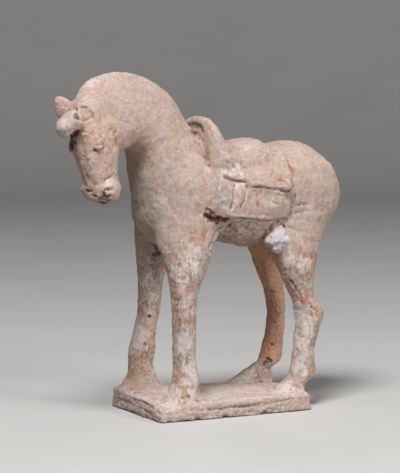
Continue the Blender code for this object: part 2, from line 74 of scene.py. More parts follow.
# The photograph's frame and focal length, in pixels, and where it was taken from: degrees round
# from the left flank and up, and metres from the middle of the view
PHOTO_WIDTH = 400
PHOTO_HEIGHT = 473
FOCAL_PIXELS = 2040.8
AZIMUTH = -27.28
ELEVATION = 5.27
DISTANCE = 1.8
AIM = (-0.0111, 0.0, 0.1536)

# Where each soft light comes from, how far off it stands and how wide it is, in metres
Lamp = namedtuple("Lamp", "name direction distance width")
KEY_LIGHT = Lamp("key_light", (-0.4, -0.45, 1.0), 2.6, 1.0)
FILL_LIGHT = Lamp("fill_light", (0.5, -0.85, 0.35), 2.4, 1.2)
ROOM_COLOUR = (1.0, 0.99, 0.98, 1.0)

# The middle of the head between the eyes, and how it is turned, tucked and tilted, in degrees
EYE_LINE = (-123.5, -22.5, 235.0)
HEAD_TURN = 31.5
HEAD_TUCK = 10.0
HEAD_TILT = 7.0

# The middle of the face in the head's axes, and how far round it the face reaches
FACE_MIDDLE = (0, 6, -8)
FACE_REACH = 50

# The slab's half length and half width, and the heights between which its side ends, its top starts
# and ends, and the legs set in
SLAB_HALF_LENGTH = 75.5
SLAB_HALF_WIDTH = 52.5
SLAB_SIDE_ENDS = (14, 17)
SLAB_TOP_STARTS = (13, 15)
SLAB_TOP_ENDS = (17, 21)
LEGS_START = (20, 40)

# The heights between which the legs' flaking slip and their lumps end and the barrel's strokes start
LEG_SLIP_ENDS = (140, 172)
LEG_LUMPS_END = (120, 155)
BARREL_STARTS = (120, 150)

# A line worked into the clay: its places, how far it reaches to each side, and how deep it is
# pressed (below zero it stands out). A seen line has its places as pixels of the photograph.
Line = namedtuple("Line", "places reach depth")
Seen = namedtuple("Seen", "name places reach depth")

# A dab of clay, or a press of a finger: its middle, how far it spreads, and how high it stands
Dab = namedtuple("Dab", "middle spread height")

# The same as it is seen: its middle in pixels of the photograph
SeenDab = namedtuple("SeenDab", "name across down spread height")

# A spot of one finish as it is seen: pixels across and down, and its spread in millimetres
Spot = namedtuple("Spot", "across down spread")

# A patch of one finish on the clay: its middle and how far it spreads
Patch = namedtuple("Patch", "x y z spread")

# The near side of the head as it is seen; the far side has the same, mirrored
CHEEK_LINES = (
    Seen("upper lid", ((93.5, 148.5), (96, 146.2), (100, 144.8), (105, 143.6)), 1.3, 1.1),
    Seen(
        "lower lid",
        ((93.5, 150.6), (96, 152.1), (99.5, 151.4), (103, 149.4), (106, 146.4)),
        1.4,
        1.3,
    ),
    Seen("fold over the lid", ((96, 144.5), (99, 142.8), (102, 141.6), (105.5, 140)), 1.5, 0.6),
    Seen("fold under the eye", ((91, 151.6), (95, 154.8), (100, 154.6), (104.5, 152)), 1.7, 0.35),
    Seen("brow", ((84, 147), (88, 147.6), (92, 147)), 1.4, 0.45),
    Seen("brow lump", ((85.5, 139.5), (87.5, 143), (92, 145.3), (96, 144)), 1.5, 0.5),
    Seen("upper brow", ((86, 136.5), (91, 134.8), (97, 135.2), (102, 137.5)), 1.5, 0.4),
    Seen("orbit", ((109.5, 134), (109.5, 130.5), (112, 128.3), (115, 130.5), (116, 135)), 1.6, 0.6),
    Seen("cheek seam", ((115.8, 138), (116.5, 143), (117.5, 149), (117.6, 154)), 2.0, 0.6),
    Seen("cheek furrow", ((107, 146), (110, 151), (112, 158)), 1.6, 0.4),
    Seen("lower furrow", ((101, 156), (104, 160), (106, 167)), 1.5, 0.3),
    Seen("muzzle crease", ((103, 181), (107, 179), (111, 176.6), (114.5, 173.5)), 1.6, 0.9),
)

# The rest of the head as it is seen
HEAD_LINES = (
    Seen("muzzle fold", ((93.5, 184.8), (97, 184.2), (100.5, 182.6), (103, 181)), 1.5, 0.45),
    Seen("nostril", ((105, 190.6), (108, 189.8), (112, 188.9)), 1.5, 1.6),
    Seen("nostril wing", ((103, 187), (108, 186), (114, 187)), 2.2, -0.5),
    Seen("mouth", ((102.5, 196.5), (106, 196.3), (110, 196.6), (113, 195.8)), 1.7, 1.8),
    Seen("mouth corner", ((103.6, 192), (103.8, 195)), 1.4, 1.0),
    Seen("lower lip", ((99, 199.5), (104, 201), (109, 200.6)), 1.8, -0.6),
    Seen("crevice by the ear", ((76.4, 107.5), (76.4, 112), (76.6, 116), (78, 119)), 2.0, 2.2),
    Seen("crevice over the knob", ((78, 119), (80.5, 121), (84.5, 122.6)), 1.5, 1.0),
    Seen(
        "ear rim",
        ((79, 105.4), (84, 105), (88, 106.2), (91, 108.4), (93.3, 111), (95, 114)),
        1.4,
        -1.2,
    ),
    Seen("inside the ear", ((81, 108), (85, 107.8), (88.5, 109.6), (91, 112.4), (92, 115)), 1.7, 0.6),
    Seen("ear foot", ((81, 119), (85, 120), (90, 119), (94, 116.5)), 2.0, 0.8),
    Seen("knob", ((80.5, 126), (84, 124.6), (88, 125.6)), 1.4, 0.6),
    Seen("under the knob", ((79.5, 130.6), (83, 132), (88, 132.3)), 1.5, 1.1),
    Seen("under the tuft", ((79, 131.5), (76.5, 133.5), (74, 136)), 1.8, 1.1),
    Seen("far nose crease", ((86.5, 174), (87.5, 178), (90, 181.3)), 1.5, 0.9),
    Seen("far nostril", ((85, 190.3), (88, 190.2), (91.5, 191)), 1.5, 1.3),
    Seen("far lips", ((91, 196), (95, 196.4), (98.5, 199)), 1.4, 0.8),
    Seen("wrinkle by the far eye", ((80, 153), (82, 155.5), (84, 158)), 1.3, 0.4),
    Seen("second wrinkle by the far eye", ((82, 150), (84, 152.5), (86, 155)), 1.3, 0.35),
    Seen("wrinkle of the nose", ((84, 166), (84.4, 169), (85, 172)), 1.3, 0.4),
)

HEAD_DABS = (
    SeenDab("end of the tuft", 60, 128, 6.0, 0.8),
    SeenDab("eyeball", 99.8, 148.2, 3.2, 0.35),
    SeenDab("brow lump", 90, 141, 6.0, 0.6),
    SeenDab("chipped spot", 103.7, 136, 3.5, 0.7),
    SeenDab("lump by the poll", 112, 136.5, 4.0, 0.8),
    SeenDab("knob", 84, 128, 3.5, 0.7),
    SeenDab("nostril wing", 109.5, 184.5, 5.5, 1.0),
    SeenDab("far nostril wing", 90, 186, 4.5, 0.8),
    SeenDab("lip", 108.5, 193.5, 3.5, 0.8),
)

# The saddle on the near flank as it is seen; the far flank has the same, mirrored
SADDLE_LINES = (
    Seen("front seam", ((190, 131.5), (196, 135), (201, 140.5), (204.5, 147), (209, 160)), 1.5, 0.9),
    Seen("ridge at the withers", ((186, 129.5), (192, 129.3), (198, 131), (203, 134.5)), 2.4, -1.0),
    Seen("front roll", ((200, 133), (205, 139), (209, 148), (211, 156)), 2.6, -0.5),
    Seen("upper hem", ((222, 174.5), (226, 178.3), (231, 180.2), (240, 181.2), (247.5, 182)), 1.5, 1.4),
    Seen(
        "edge of the upper hem",
        ((223, 172), (227, 175.5), (232, 177.5), (238, 178.3), (246, 178.5)),
        2.2,
        -0.9,
    ),
    Seen("front of the strap", ((234.5, 183.5), (233.8, 190), (233, 197), (230, 211)), 1.5, 1.1),
    Seen("back of the strap", ((246.3, 184), (246.2, 190), (245.3, 197), (240.5, 210)), 1.5, 1.0),
    Seen("strap", ((240, 184), (239.5, 192), (238, 200), (235.5, 208)), 2.8, -0.7),
    Seen("rear hem", ((248, 187.5), (252, 187.8), (258, 186.6), (262, 187.2), (272, 189.6)), 1.5, 1.3),
    Seen(
        "rear hem's end",
        ((272, 189.6), (279, 190.6), (286, 191.6), (290, 191), (295.3, 185)),
        1.7,
        1.8,
    ),
    Seen(
        "lip of the rear hem",
        ((250, 184.5), (258, 183.5), (266, 185.5), (276, 186.5), (286, 187)),
        2.2,
        -0.7,
    ),
    Seen("lower hem's front", ((205, 215.5), (210, 217.8), (216, 218.8), (227, 219.5)), 2.6, 2.1),
    Seen(
        "lower hem",
        ((228, 219.8), (240, 218.8), (252, 219.5), (263, 221.5), (274, 221), (286, 218.5)),
        1.7,
        1.8,
    ),
    Seen(
        "edge of the lower hem",
        ((226, 214.5), (236, 216), (248, 216.5), (262, 218), (276, 217.5)),
        2.2,
        -0.9,
    ),
    Seen("rear edge", ((295, 188), (295.3, 195), (293.5, 203), (291.5, 210), (289, 216)), 1.8, 0.9),
    Seen("cantle", ((266.5, 147), (265.6, 152), (262.5, 155.6), (257, 157.6)), 1.6, 0.9),
    Seen("fold by the cantle", ((267, 148), (266, 154), (262, 160)), 2.0, -0.4),
    Seen("fold of the lower flap", ((258, 192), (257, 199), (258, 207)), 2.0, 0.7),
    Seen("second fold of the lower flap", ((270, 199), (275, 203), (280, 204)), 1.8, 0.6),
    Seen("fold of the seat", ((226, 151), (234, 152), (240, 156), (250, 158)), 2.6, 0.35),
    Seen("fold under the seat", ((225, 160), (232, 164), (236, 168)), 2.4, 0.7),
    Seen("fold of the rear corner", ((282, 161), (288, 163), (293, 170), (294.5, 178)), 2.4, 0.8),
    Seen("fold before the rear corner", ((274, 168), (272, 173), (270.5, 178)), 2.0, 0.6),
    Seen("fold on the corner", ((277, 180), (282, 181), (286, 184.5), (287, 188)), 1.7, 0.8),
    Seen("crease on the corner", ((284, 177), (289, 180), (292, 184)), 1.5, 0.5),
)

SADDLE_DABS = (
    SeenDab("rear corner", 287, 184, 8.5, 2.2),
    SeenDab("upper roll", 231, 175.5, 7.0, 0.9),
    SeenDab("roll of the rear hem", 262, 183.5, 8.0, 0.9),
    SeenDab("lower flap", 270, 209, 13.0, 0.9),
    SeenDab("pad under the arch", 216, 166, 9.0, 0.8),
    SeenDab("strap", 239, 196, 6.0, 0.7),
    SeenDab("seat", 242, 149, 14.0, -1.3),
    SeenDab("back of the seat", 254, 150, 12.0, -0.8),
    SeenDab("crumb at the hem", 207, 213.5, 3.4, 1.1),
    SeenDab("second crumb", 213.5, 217, 3.0, 1.0),
    SeenDab("third crumb", 221, 219.5, 3.0, 0.9),
)

# Other lines of the near side as they are seen
FLANK_LINES = (
    Seen("first thigh fold", ((290, 208), (296, 206), (303, 204.5), (310, 203.5)), 1.7, 0.6),
    Seen("second thigh fold", ((293, 213.5), (303, 211.5), (310, 210)), 1.7, 0.6),
    Seen("third thigh fold", ((293, 219.5), (303, 220), (310, 221)), 1.7, 0.55),
    Seen("groin", ((285, 225), (290, 228), (297, 230), (303, 230.5)), 1.8, 0.5),
    Seen("belly crease", ((224, 225), (231, 228), (238, 233), (243, 238)), 1.8, 0.6),
    Seen("second belly crease", ((237, 223), (245, 227), (252, 233)), 1.8, 0.6),
    Seen("third belly crease", ((252, 223), (260, 227), (266, 233)), 1.7, 0.5),
    Seen("lower belly crease", ((217, 231), (224, 236), (233, 240)), 1.8, 0.6),
    Seen("crack at the breast", ((150, 242), (154, 245), (158, 249), (160.5, 253)), 2.0, 2.0),
    Seen("crack over the leg", ((148.5, 254.5), (153, 254), (158, 253), (161, 254.5)), 2.2, 2.0),
    Seen("crease of the elbow", ((152, 270), (156, 267.5), (160, 262.5)), 1.8, 0.8),
    Seen("hock crease", ((287, 278.5), (291, 282.5), (295, 287.5), (297, 293)), 1.6, 0.9),
    Seen("hock tendon", ((308, 303), (313, 307.5), (316.5, 313), (317.5, 320)), 1.6, 0.6),
    Seen("fetlock", ((299, 375.5), (304, 377.5), (311, 377)), 1.7, 0.7),
    Seen("edge of the white hoof", ((282, 383), (290, 383.5), (297, 387), (303, 391)), 1.5, 0.5),
    Seen("break over the toe", ((258, 364), (264, 366), (270, 368.5), (273, 364)), 2.2, 1.6),
    Seen("right pastern", ((262, 358), (268, 358.5), (273, 361.5)), 1.6, 0.8),
    Seen("end of the white clay", ((130, 350), (137, 350.5), (142, 349), (145, 342)), 1.4, 0.4),
    Seen(
        "front crack",
        ((115, 391), (122, 394.5), (131, 398), (142, 402), (157, 411), (161, 418)),
        1.5,
        0.7,
    ),
    Seen("lower front crack", ((118, 398.5), (128, 402.5), (140, 408), (156, 418)), 1.4, 0.5),
    Seen("edge crack", ((186, 411), (200, 410), (215, 409.5), (235, 407.5), (260, 405)), 1.5, 0.9),
    Seen("rear edge crack", ((260, 405), (275, 402.5), (290, 399.5), (300, 396)), 1.5, 0.8),
    Seen("side crack", ((210, 417), (230, 415.5), (250, 412), (268, 410.5)), 1.4, 0.6),
)

PLASTER_DABS = (
    SeenDab("plaster tip", 267, 239.5, 5.0, 1.6),
    SeenDab("upper plaster", 281, 231, 4.5, 0.8),
    SeenDab("rear plaster", 286, 240, 5.0, 0.9),
    SeenDab("lower plaster", 276.5, 249.5, 5.0, 1.1),
)

FLANK_DABS = (
    # chips along the slab's lower edge
    Dab((-13, -52, 0.6), 4.2, -1.8),
    Dab((26, -52, 0.4), 3.4, -1.4),
    Dab((58, -51, 0.5), 3.0, -1.0),
    Dab((-75, -22, 0.6), 3.6, -1.4),
    Dab((75, 18, 1), 4.5, -1.6),
    # holes and nicks
    Dab((74.8, 21.2, 97.3), 2.0, -1.4),
    Dab((59.3, -36.9, 113.3), 2.2, -1.3),
    Dab((-53.9, 23.3, 95.3), 2.2, -1.2),
    Dab((-24, -37.6, 175), 3.4, -1.4),
    Dab((56, -44, 191.5), 3.0, -0.6),
    # folds that stand out, and the flaked hollow in the near forefoot
    Dab((53, -44, 197), 6.0, 0.8),
    Dab((-20, -34, 214), 7.0, 0.7),
    Dab((-44, -42, 25), 6.0, -0.7),
    # an edge of the rump smoothed down
    Dab((109.2, -21, 217.5), 6.0, -1.3),
)

# Where each finish is seen, as rows of across, down and spread
ORANGE_CLAY = (
    # the head
    (98, 148, 4), (96, 150, 3), (100, 143, 4), (104, 191, 3.5), (105, 199.5, 3), (112, 131, 4),
    (113, 135, 4), (84, 131, 3.5), (84, 127, 4), (72, 133, 4), (110, 150, 4), (113, 157, 3),
    (85, 114, 3.5), (62, 113, 4), (60, 103, 5), (66, 104, 4), (84, 180, 4), (85, 153, 3),
    (112, 175, 3), (98, 184, 3), (88, 136, 6), (96, 140, 5), (84, 144, 5), (92, 131, 5),
    (104, 193, 4), (101, 197, 4), (107, 199, 3.5),
    # the saddle
    (291, 186, 5), (287, 184, 7), (283, 187, 5), (283, 180, 6), (290, 179, 5), (288, 190, 4),
    (254, 185, 5), (249, 185, 4), (262, 185, 4), (270, 187, 4), (277, 188, 3), (258, 196, 4),
    (261, 193, 3), (259, 205, 4), (242, 199, 3.5), (241, 205, 3), (205, 182, 5), (203, 172, 5),
    (209, 166, 4), (213, 206, 5), (209, 211, 5), (211, 214, 5), (217, 213, 4), (209, 127, 4),
    (213, 133, 4), (264, 153, 4), (261, 149, 4), (288, 166, 7), (292, 172, 6), (207, 152, 3),
    (336, 188, 5),
    # the forelegs
    (192, 234, 6), (203, 236, 6), (193, 238, 5), (176, 256, 5), (174, 277, 7.5), (193, 281, 6),
    (191, 290, 7.5), (175, 295, 7.5), (178, 308, 6), (191, 320, 5), (178, 322, 5), (174, 350, 4),
    (174, 358, 4), (179, 372, 6), (188, 394, 7.5), (187, 400, 6), (186, 389, 5), (139, 313, 5),
    (143, 290, 6), (151, 338, 6), (150, 346, 9), (146, 352, 7.5), (144, 257, 5), (154, 333, 5),
    # the hind legs
    (281, 262, 6), (286, 270, 7.5), (309, 257, 7.5), (306, 293, 11), (310, 275, 7.5), (306, 302, 6),
    (293, 295, 6), (317, 314, 6), (314, 345, 5), (310, 372, 6), (296, 385, 5), (280, 258, 5),
    (276, 255, 5), (298, 250, 6), (315, 240, 6),
)
WHITE_SLIP_AND_LIGHT = (
    # the head and neck; on the tuft the white slip is partly painted highlight, and the small spot by
    # the poll is a painted highlight
    (63, 128, 9), (66, 132, 8), (60, 130, 8), (70, 126, 6), (64, 123, 7), (60, 132, 7),
    (58, 126, 6), (61, 122, 6), (67, 124, 6), (71, 128, 5), (112.3, 137, 2), (103.7, 136.3, 1.6),
    (110, 183, 7), (116, 183, 6), (108, 185, 5), (89, 187, 4), (97, 187, 4), (108.5, 194, 2.5),
    (90, 84, 6), (94, 80, 5),
    # the saddle and croup
    (238, 186, 4), (243, 184, 4), (236, 200, 3), (235, 207, 3.5), (230, 210, 4), (227, 208, 4),
    (244, 189, 3), (219, 188, 2.5), (225, 198, 2.5), (229, 186, 2.5), (216, 204, 2.5),
    (225, 207, 3), (224, 155, 4.5), (229, 158, 4), (238, 166, 4), (217, 124, 4),
    # the forelegs; the small spots high on the far foreleg are painted light
    (197, 253, 7.5), (188, 262, 10), (194, 268, 10), (179, 273, 10), (182, 283, 6), (184, 305, 7.5),
    (193, 312, 5), (186, 340, 10), (182, 350, 11), (190, 355, 9), (190, 367, 11), (193, 378, 10),
    (172, 390, 10), (147, 276, 5), (145, 284, 5), (151, 270, 4), (137, 335, 10), (139, 344, 9),
    (135, 328, 7.5), (150, 262, 6), (152, 298, 6), (193, 392, 6), (181, 383, 6),
    # the hind legs
    (300, 316, 11), (296, 340, 11), (303, 352, 11), (298, 366, 11), (308, 318, 7.5), (296, 305, 6),
    (285, 390, 12.5), (303, 265, 9), (290, 262, 7.5), (305, 335, 10), (250, 372, 10),
    (242, 376, 10),
    # the slab
    (170, 405, 10), (160, 397, 7.5), (140, 396, 6), (122, 390, 6),
)
GREY_SOIL_AND_SHADE = (
    # the rump, saddle and head; at the front of the arch, painted shade under its rim
    (303, 176, 6), (307, 184, 6), (316, 169, 6), (325, 175, 6), (215, 178, 4), (213, 186, 4),
    (198, 123, 6), (193, 125, 5), (205, 124, 5), (274, 162, 4), (118, 138, 4), (85, 118, 2.5),
    # the legs, flanks and slab
    (168, 246, 8), (172, 262, 6), (179, 329, 6), (173, 303, 5), (172, 325, 5), (187, 310, 6),
    (175, 285, 4), (147, 306, 6), (149, 316, 6), (143, 303, 5), (141, 268, 6), (148, 285, 6),
    (140, 250, 8), (153, 276, 6), (290, 282, 4), (300, 280, 5), (160, 235, 9), (150, 228, 8),
    (185, 215, 8), (170, 195, 9), (305, 215, 8), (320, 205, 9), (125, 405, 8), (118, 400, 6),
    (145, 412, 7), (135, 403, 6),
    # broad over the shoulder, breast and neck: painted shade where the head and neck shade the breast,
    # the shoulder and the throat
    (150, 205, 15), (165, 220, 15), (145, 185, 14), (180, 192, 11), (136, 205, 13), (132, 225, 13),
    (178, 212, 14), (172, 200, 13), (188, 205, 11), (160, 215, 13), (128, 190, 11), (136, 243, 10),
    (127, 165, 10), (124, 152, 8), (165, 175, 12),
)
CREAM_SLIP = (
    (230, 174, 6), (236, 175, 6), (225, 172, 5), (240, 173, 5), (233, 168, 6), (231, 160, 5),
    (248, 146, 5), (280, 200, 6), (272, 203, 5), (66, 107, 4), (92, 160, 5),
)
LAVENDER_PAINT = (
    (218, 184, 5), (222, 190, 6), (217, 196, 5), (226, 187, 5), (228, 193, 5), (228, 202, 5),
    (222, 203, 5), (226, 209, 4), (219, 209, 3.5), (230, 183, 3), (213, 192, 3), (239, 189, 2.5),
    (214, 199, 4),
)
# Dark reddish brown stains, together with painted shade and shadow in the clay's hollows and under its
# overhangs
DARK_STAIN_AND_SHADE = (
    # the flap's front corner, the hems and the arch: painted shade under the hems and in the front
    # hollow of the arch
    (206, 214.5, 3.5), (210, 217, 5), (210, 211, 2.5), (206, 209, 2), (214, 213.5, 2.2),
    (214, 219, 6), (219, 219.5, 6), (225, 220, 4.5), (230, 226, 3), (284, 226, 2),
    (260, 186.5, 1.5), (289, 190.5, 2), (278, 221, 2.5), (246, 219.5, 1.5), (189, 127, 3),
    (192, 182, 1.3),
    # the head: painted shadow under the tuft, painted shade in the crevice by the ear, the nostrils and
    # the mouth, and dark marks at the eye
    (76.2, 109, 2.2), (76.4, 113, 3), (76.5, 117, 3.5), (76, 134, 3.5), (77, 131, 2), (72, 138, 5),
    (70, 143, 6), (71, 148, 5), (75, 142, 2.5), (82, 131.4, 2), (94.8, 149.5, 2.6), (109, 189.6, 2),
    (105, 190.5, 1.6), (107, 197, 4.5), (104, 194, 2.5), (101, 198, 3.5), (104, 203, 4),
    (99, 202, 3), (109, 200, 2.4), (88, 190.3, 2.2), (95, 196.3, 2), (88, 179, 1.8),
    (98, 151.8, 1.4),
    # the legs: dark specks and flakes, with painted shade along the crack at the breast, in the hock
    # crease and in the break over the toe
    (153, 254.8, 2.2), (156.5, 254.2, 2.6), (159.5, 253, 2.8), (157, 249.5, 2), (154, 246, 1.8),
    (147, 305, 2), (143, 303, 2), (150, 316, 2), (143, 269, 2), (272, 291.5, 2), (269, 349.5, 1.6),
    (268, 358, 2.5), (265, 363, 3), (277, 300, 1.6), (281, 312, 1.4), (275, 322, 1.6),
    (279, 335, 1.4), (272, 344, 2), (271, 361, 3), (292, 284, 2.5), (296, 287, 2), (294, 292, 2),
    (311, 307, 1.4), (188, 396, 2),
)
PLASTER = ((267, 239.5, 5), (272, 238, 5.5), (281, 230.5, 5), (286, 240, 5.5), (276.5, 250, 6))

# Hollows that are shallower than in the CAD form, and less darkened by the dirt and painted shade of
# the hollow mark: the near ear and the front of the arch
SHALLOW_HOLLOWS = ((90, 111, 15), (194, 136, 16), (202, 147, 12))

# The plain clay of the old repairs, the stained right hind leg, and the middle of the plaster
BUFF_PATCHES = (
    Patch(-57, 27, 44, 12), Patch(-58, 28, 32, 16), Patch(-60, 28, 20, 17), Patch(-52, 25, 54, 6),
    Patch(52, 22, 24, 11),
)
BROWN_PATCHES = (
    Patch(58, 24, 148, 24), Patch(66, 22, 130, 24), Patch(76, 24, 112, 22), Patch(80, 26, 94, 20),
    Patch(80, 28, 76, 20), Patch(78, 28, 58, 19), Patch(76, 28, 42, 16),
)
PLASTER_LUMP = Patch(47.0, -38.0, 152.0, 11.5)

# How each finish's patches break up at the edge: how far, how large the breaks are in millimetres, and
# the pattern's seed
Edge = namedtuple("Edge", "ragged size seed")
EDGES = {
    "shallow": Edge(0.1, 4.0, 11),
    "bare": Edge(0.7, 3.0, 2),
    "pale": Edge(0.7, 3.0, 3),
    "plaster": Edge(0.3, 4.0, 9),
    "soil_and_shade": Edge(0.9, 4.0, 4),
    "cream": Edge(0.8, 5.0, 6),
    "lavender": Edge(0.6, 3.4, 7),
    "brown": Edge(0.15, 8.0, 8),
    "buff": Edge(0.25, 8.0, 10),
    "stain_and_shade": Edge(0.5, 2.4, 1),
}


def head_place():
    """Takes the head's axes to the frame's, in millimetres."""
    turn = Matrix.Rotation(math.radians(90 + HEAD_TURN), 4, "Z")
    tilt = Matrix.Rotation(math.radians(HEAD_TILT), 4, "Y")
    tuck = Matrix.Rotation(math.radians(-HEAD_TUCK), 4, "X")
    return Matrix.Translation(EYE_LINE) @ turn @ tilt @ tuck


# Patterns over the clay, worked out for many points at once


def scattered(cell, seed):
    """A steady number from 0 to 1 for each whole-numbered cell."""
    mixed = cell[..., 0] * 374761393 + cell[..., 1] * 668265263 + cell[..., 2] * 974634777
    mixed = (mixed + seed * 1274126177) ^ ((mixed + seed) >> 13)
    mixed = mixed * 1103515245 & 0x7FFFFFFF
    mixed = (mixed ^ (mixed >> 15)) * 12345 & 0x7FFFFFFF
    return (mixed >> 7 & 0xFFFF) / 0xFFFF


def cloud(points, size, seed=0, octaves=3):
    """Soft unevenness from about -1 to 1, its largest lumps about `size` millimetres apart."""
    total, weight, weights = 0.0, 1.0, 0.0
    for octave in range(octaves):
        place = points * (2**octave / size) + 17.3 * (octave + 1)
        cell = np.floor(place).astype(np.int64)
        t = place - cell
        t = t**3 * (t * (t * 6 - 15) + 10)
        value = 0.0
        for corner in np.ndindex(2, 2, 2):
            share = np.prod(np.where(corner, t, 1 - t), axis=1)
            value = value + share * scattered(cell + corner, seed + octave)
        total = total + weight * (2 * value - 1)
        weights += weight
        weight *= 0.55
    return total / weights * 1.6


def lumps(points, height, size, seed, octaves=3):
    """Unevenness up to about `height` millimetres, its largest lumps about `size` apart."""
    return height * cloud(points, size, seed, octaves)


def pebbles(points, size, seed=0):
    """How far each point is from the nearest of many scattered middles, from 0 to about 1."""
    place = points / size
    cell = np.floor(place).astype(np.int64)
    nearest = np.full(len(points), 9.0)
    for offset in np.ndindex(3, 3, 3):
        there = cell + offset - 1
        middle = there + np.stack([scattered(there, seed + k) for k in range(3)], axis=1)
        nearest = np.minimum(nearest, ((place - middle) ** 2).sum(1))
    return np.sqrt(nearest)


def ramp(values, low, high):
    """0 up to low, 1 from high, and smooth between them."""
    t = np.clip((values - low) / (high - low), 0, 1)
    return t * t * (3 - 2 * t)


def falling(values, low, high):
    """1 up to low, 0 from high, and smooth between them."""
    return ramp(-values, -high, -low)


def drawn_through(places, step=1.4):
    """A smooth line through a few places, as points a step apart."""
    given = np.array(places, float)
    held = np.vstack([2 * given[0] - given[1], given, 2 * given[-1] - given[-2]])
    line = []
    for a, b, c, d in zip(held[:-3], held[1:-2], held[2:-1], held[3:]):
        count = max(2, int(np.linalg.norm(c - b) / step))
        for t in np.arange(count) / count:
            bend = (2 * a - 5 * b + 4 * c - d) + t * (3 * b - a - 3 * c + d)
            line.append(b + 0.5 * t * ((c - a) + t * bend))
    line.append(given[-1])
    return np.array(line)


def mirrored(places, axis):
    """The same places with one axis turned round."""
    return [tuple(-v if i == axis else v for i, v in enumerate(place)) for place in places]


def view_direction(azimuth, elevation):
    """From what is seen towards the eye."""
    return Vector(
        (
            math.sin(azimuth) * math.cos(elevation),
            -math.cos(azimuth) * math.cos(elevation),
            math.sin(elevation),
        )
    )


def seen_on(thing, pixels):
    """The places of the skin, in millimetres, under these pixels of the photograph."""
    back = view_direction(math.radians(AZIMUTH), math.radians(ELEVATION))
    turn = back.to_track_quat("Z", "Y")
    eye = Vector(AIM) + back * DISTANCE
    found = []
    for across, down in pixels:
        right = turn @ Vector((across - PHOTO_WIDTH / 2, PHOTO_HEIGHT / 2 - down, 0))
        sight = (right - back * FOCAL_PIXELS).normalized()
        hit, place = thing.ray_cast(eye, sight)[:2]
        if not hit:
            place = thing.closest_point_on_mesh(eye + sight * DISTANCE)[1]
        found.append(tuple(place / MM))
    return found


class Clay:
    """The horse's skin while it is worked: where each point is and which way is out."""

    def __init__(self, thing):
        mesh = thing.data
        self.thing = thing
        count = len(mesh.vertices)
        flat = np.empty(count * 3)
        mesh.vertices.foreach_get("co", flat)
        self.at = flat.reshape(-1, 3) / MM
        flat = np.empty(count * 3)
        mesh.vertices.foreach_get("normal", flat)
        self.out = flat.reshape(-1, 3)
        self.raised = np.zeros(count)
        wander = [cloud(self.at, 5.0, 40 + k, 2) for k in range(3)]
        self.wandered = self.at + 0.55 * np.stack(wander, axis=1)

    def on_skin(self, places):
        """The nearest points of the skin to these places."""
        found = []
        for place in places:
            hit = self.thing.closest_point_on_mesh(Vector(place) * MM)[1]
            found.append(np.array(hit) / MM)
        return np.array(found)

    def work_line(self, line, strength=1.0):
        path = self.on_skin(drawn_through(line.places))
        low, high = path.min(0) - line.reach - 1, path.max(0) + line.reach + 1
        index = np.flatnonzero(((self.wandered > low) & (self.wandered < high)).all(1))
        points = self.wandered[index]
        nearest = np.full(len(index), np.inf)
        along = np.zeros(len(index))
        for k, (a, b) in enumerate(zip(path[:-1], path[1:])):
            way = b - a
            t = np.clip((points - a) @ way / max(way @ way, 1e-9), 0, 1)
            gap = np.linalg.norm(points - a - t[:, None] * way, axis=1)
            closer = gap < nearest
            nearest[closer] = gap[closer]
            along[closer] = (k + t[closer]) / (len(path) - 1)
        share = np.clip(nearest / line.reach, 0, 1)
        fade = ramp(np.minimum(along, 1 - along), -0.04, 0.12)
        uneven = 0.95 + 0.6 * cloud(points, 6.0, 61, 2)
        self.raised[index] -= strength * line.depth * (1 - share**2) ** 2 * fade * uneven

    def work_seen(self, seen, mirror=None, strength=1.0):
        """Works a line seen in the photograph, and its mirror image if one is asked for."""
        places = seen_on(self.thing, seen.places)
        self.work_line(Line(places, seen.reach, seen.depth), strength)
        if mirror:
            self.work_line(Line(mirror(places), seen.reach, seen.depth), strength * 0.8)

    def work_seen_dab(self, seen, mirror=None):
        places = seen_on(self.thing, [(seen.across, seen.down)])
        for place in places + (mirror(places) if mirror else []):
            self.work_dab(Dab(place, seen.spread, seen.height))

    def work_dab(self, dab):
        share = np.linalg.norm(self.wandered - self.on_skin([dab.middle])[0], axis=1) / dab.spread
        self.raised += dab.height * (1 - np.clip(share, 0, 1) ** 2) ** 2

    def press_on(self):
        """Moves the points out or in by what was worked into them."""
        moved = (self.at + self.out * self.raised[:, None]) * MM
        self.thing.data.vertices.foreach_set("co", moved.ravel())
        self.thing.data.update()


def patch_mask(points, finishes, name):
    """1 in the middle of a finish's patches and 0 outside, fading through a broken edge."""
    edge = EDGES[name]
    inside = np.full(len(points), -1.0)
    for patch in finishes[name]:
        gap = np.linalg.norm(points - (patch.x, patch.y, patch.z), axis=1)
        inside = np.maximum(inside, 1 - gap / patch.spread)
    drawn = points * (1.25, 1.25, 0.6)
    broken = inside + edge.ragged * cloud(drawn, edge.size, edge.seed, 5)
    return ramp(broken, 0.0, 0.6) * (inside > -0.7)


def seen_finishes(thing):
    """The patches of every finish, found on the skin under where the photograph shows them."""
    tables = {
        "bare": ORANGE_CLAY,
        "pale": WHITE_SLIP_AND_LIGHT,
        "soil_and_shade": GREY_SOIL_AND_SHADE,
        "cream": CREAM_SLIP,
        "lavender": LAVENDER_PAINT,
        "stain_and_shade": DARK_STAIN_AND_SHADE,
        "plaster": PLASTER,
        "shallow": SHALLOW_HOLLOWS,
    }
    finishes = {"buff": BUFF_PATCHES, "brown": BROWN_PATCHES}
    for name, table in tables.items():
        spots = [Spot(*row) for row in table]
        places = seen_on(thing, [(spot.across, spot.down) for spot in spots])
        finishes[name] = [Patch(*place, spot.spread) for place, spot in zip(places, spots)]
    finishes["plaster"].append(PLASTER_LUMP)
    return finishes


def shallow_mask(points, finishes):
    return patch_mask(points, finishes, "shallow")


def face_share(points):
    """1 over the face, fading to 0 at the neck."""
    middle = head_place() @ Vector(FACE_MIDDLE)
    return ramp(1 - np.linalg.norm(points - middle, axis=1) / FACE_REACH, 0.0, 0.3)


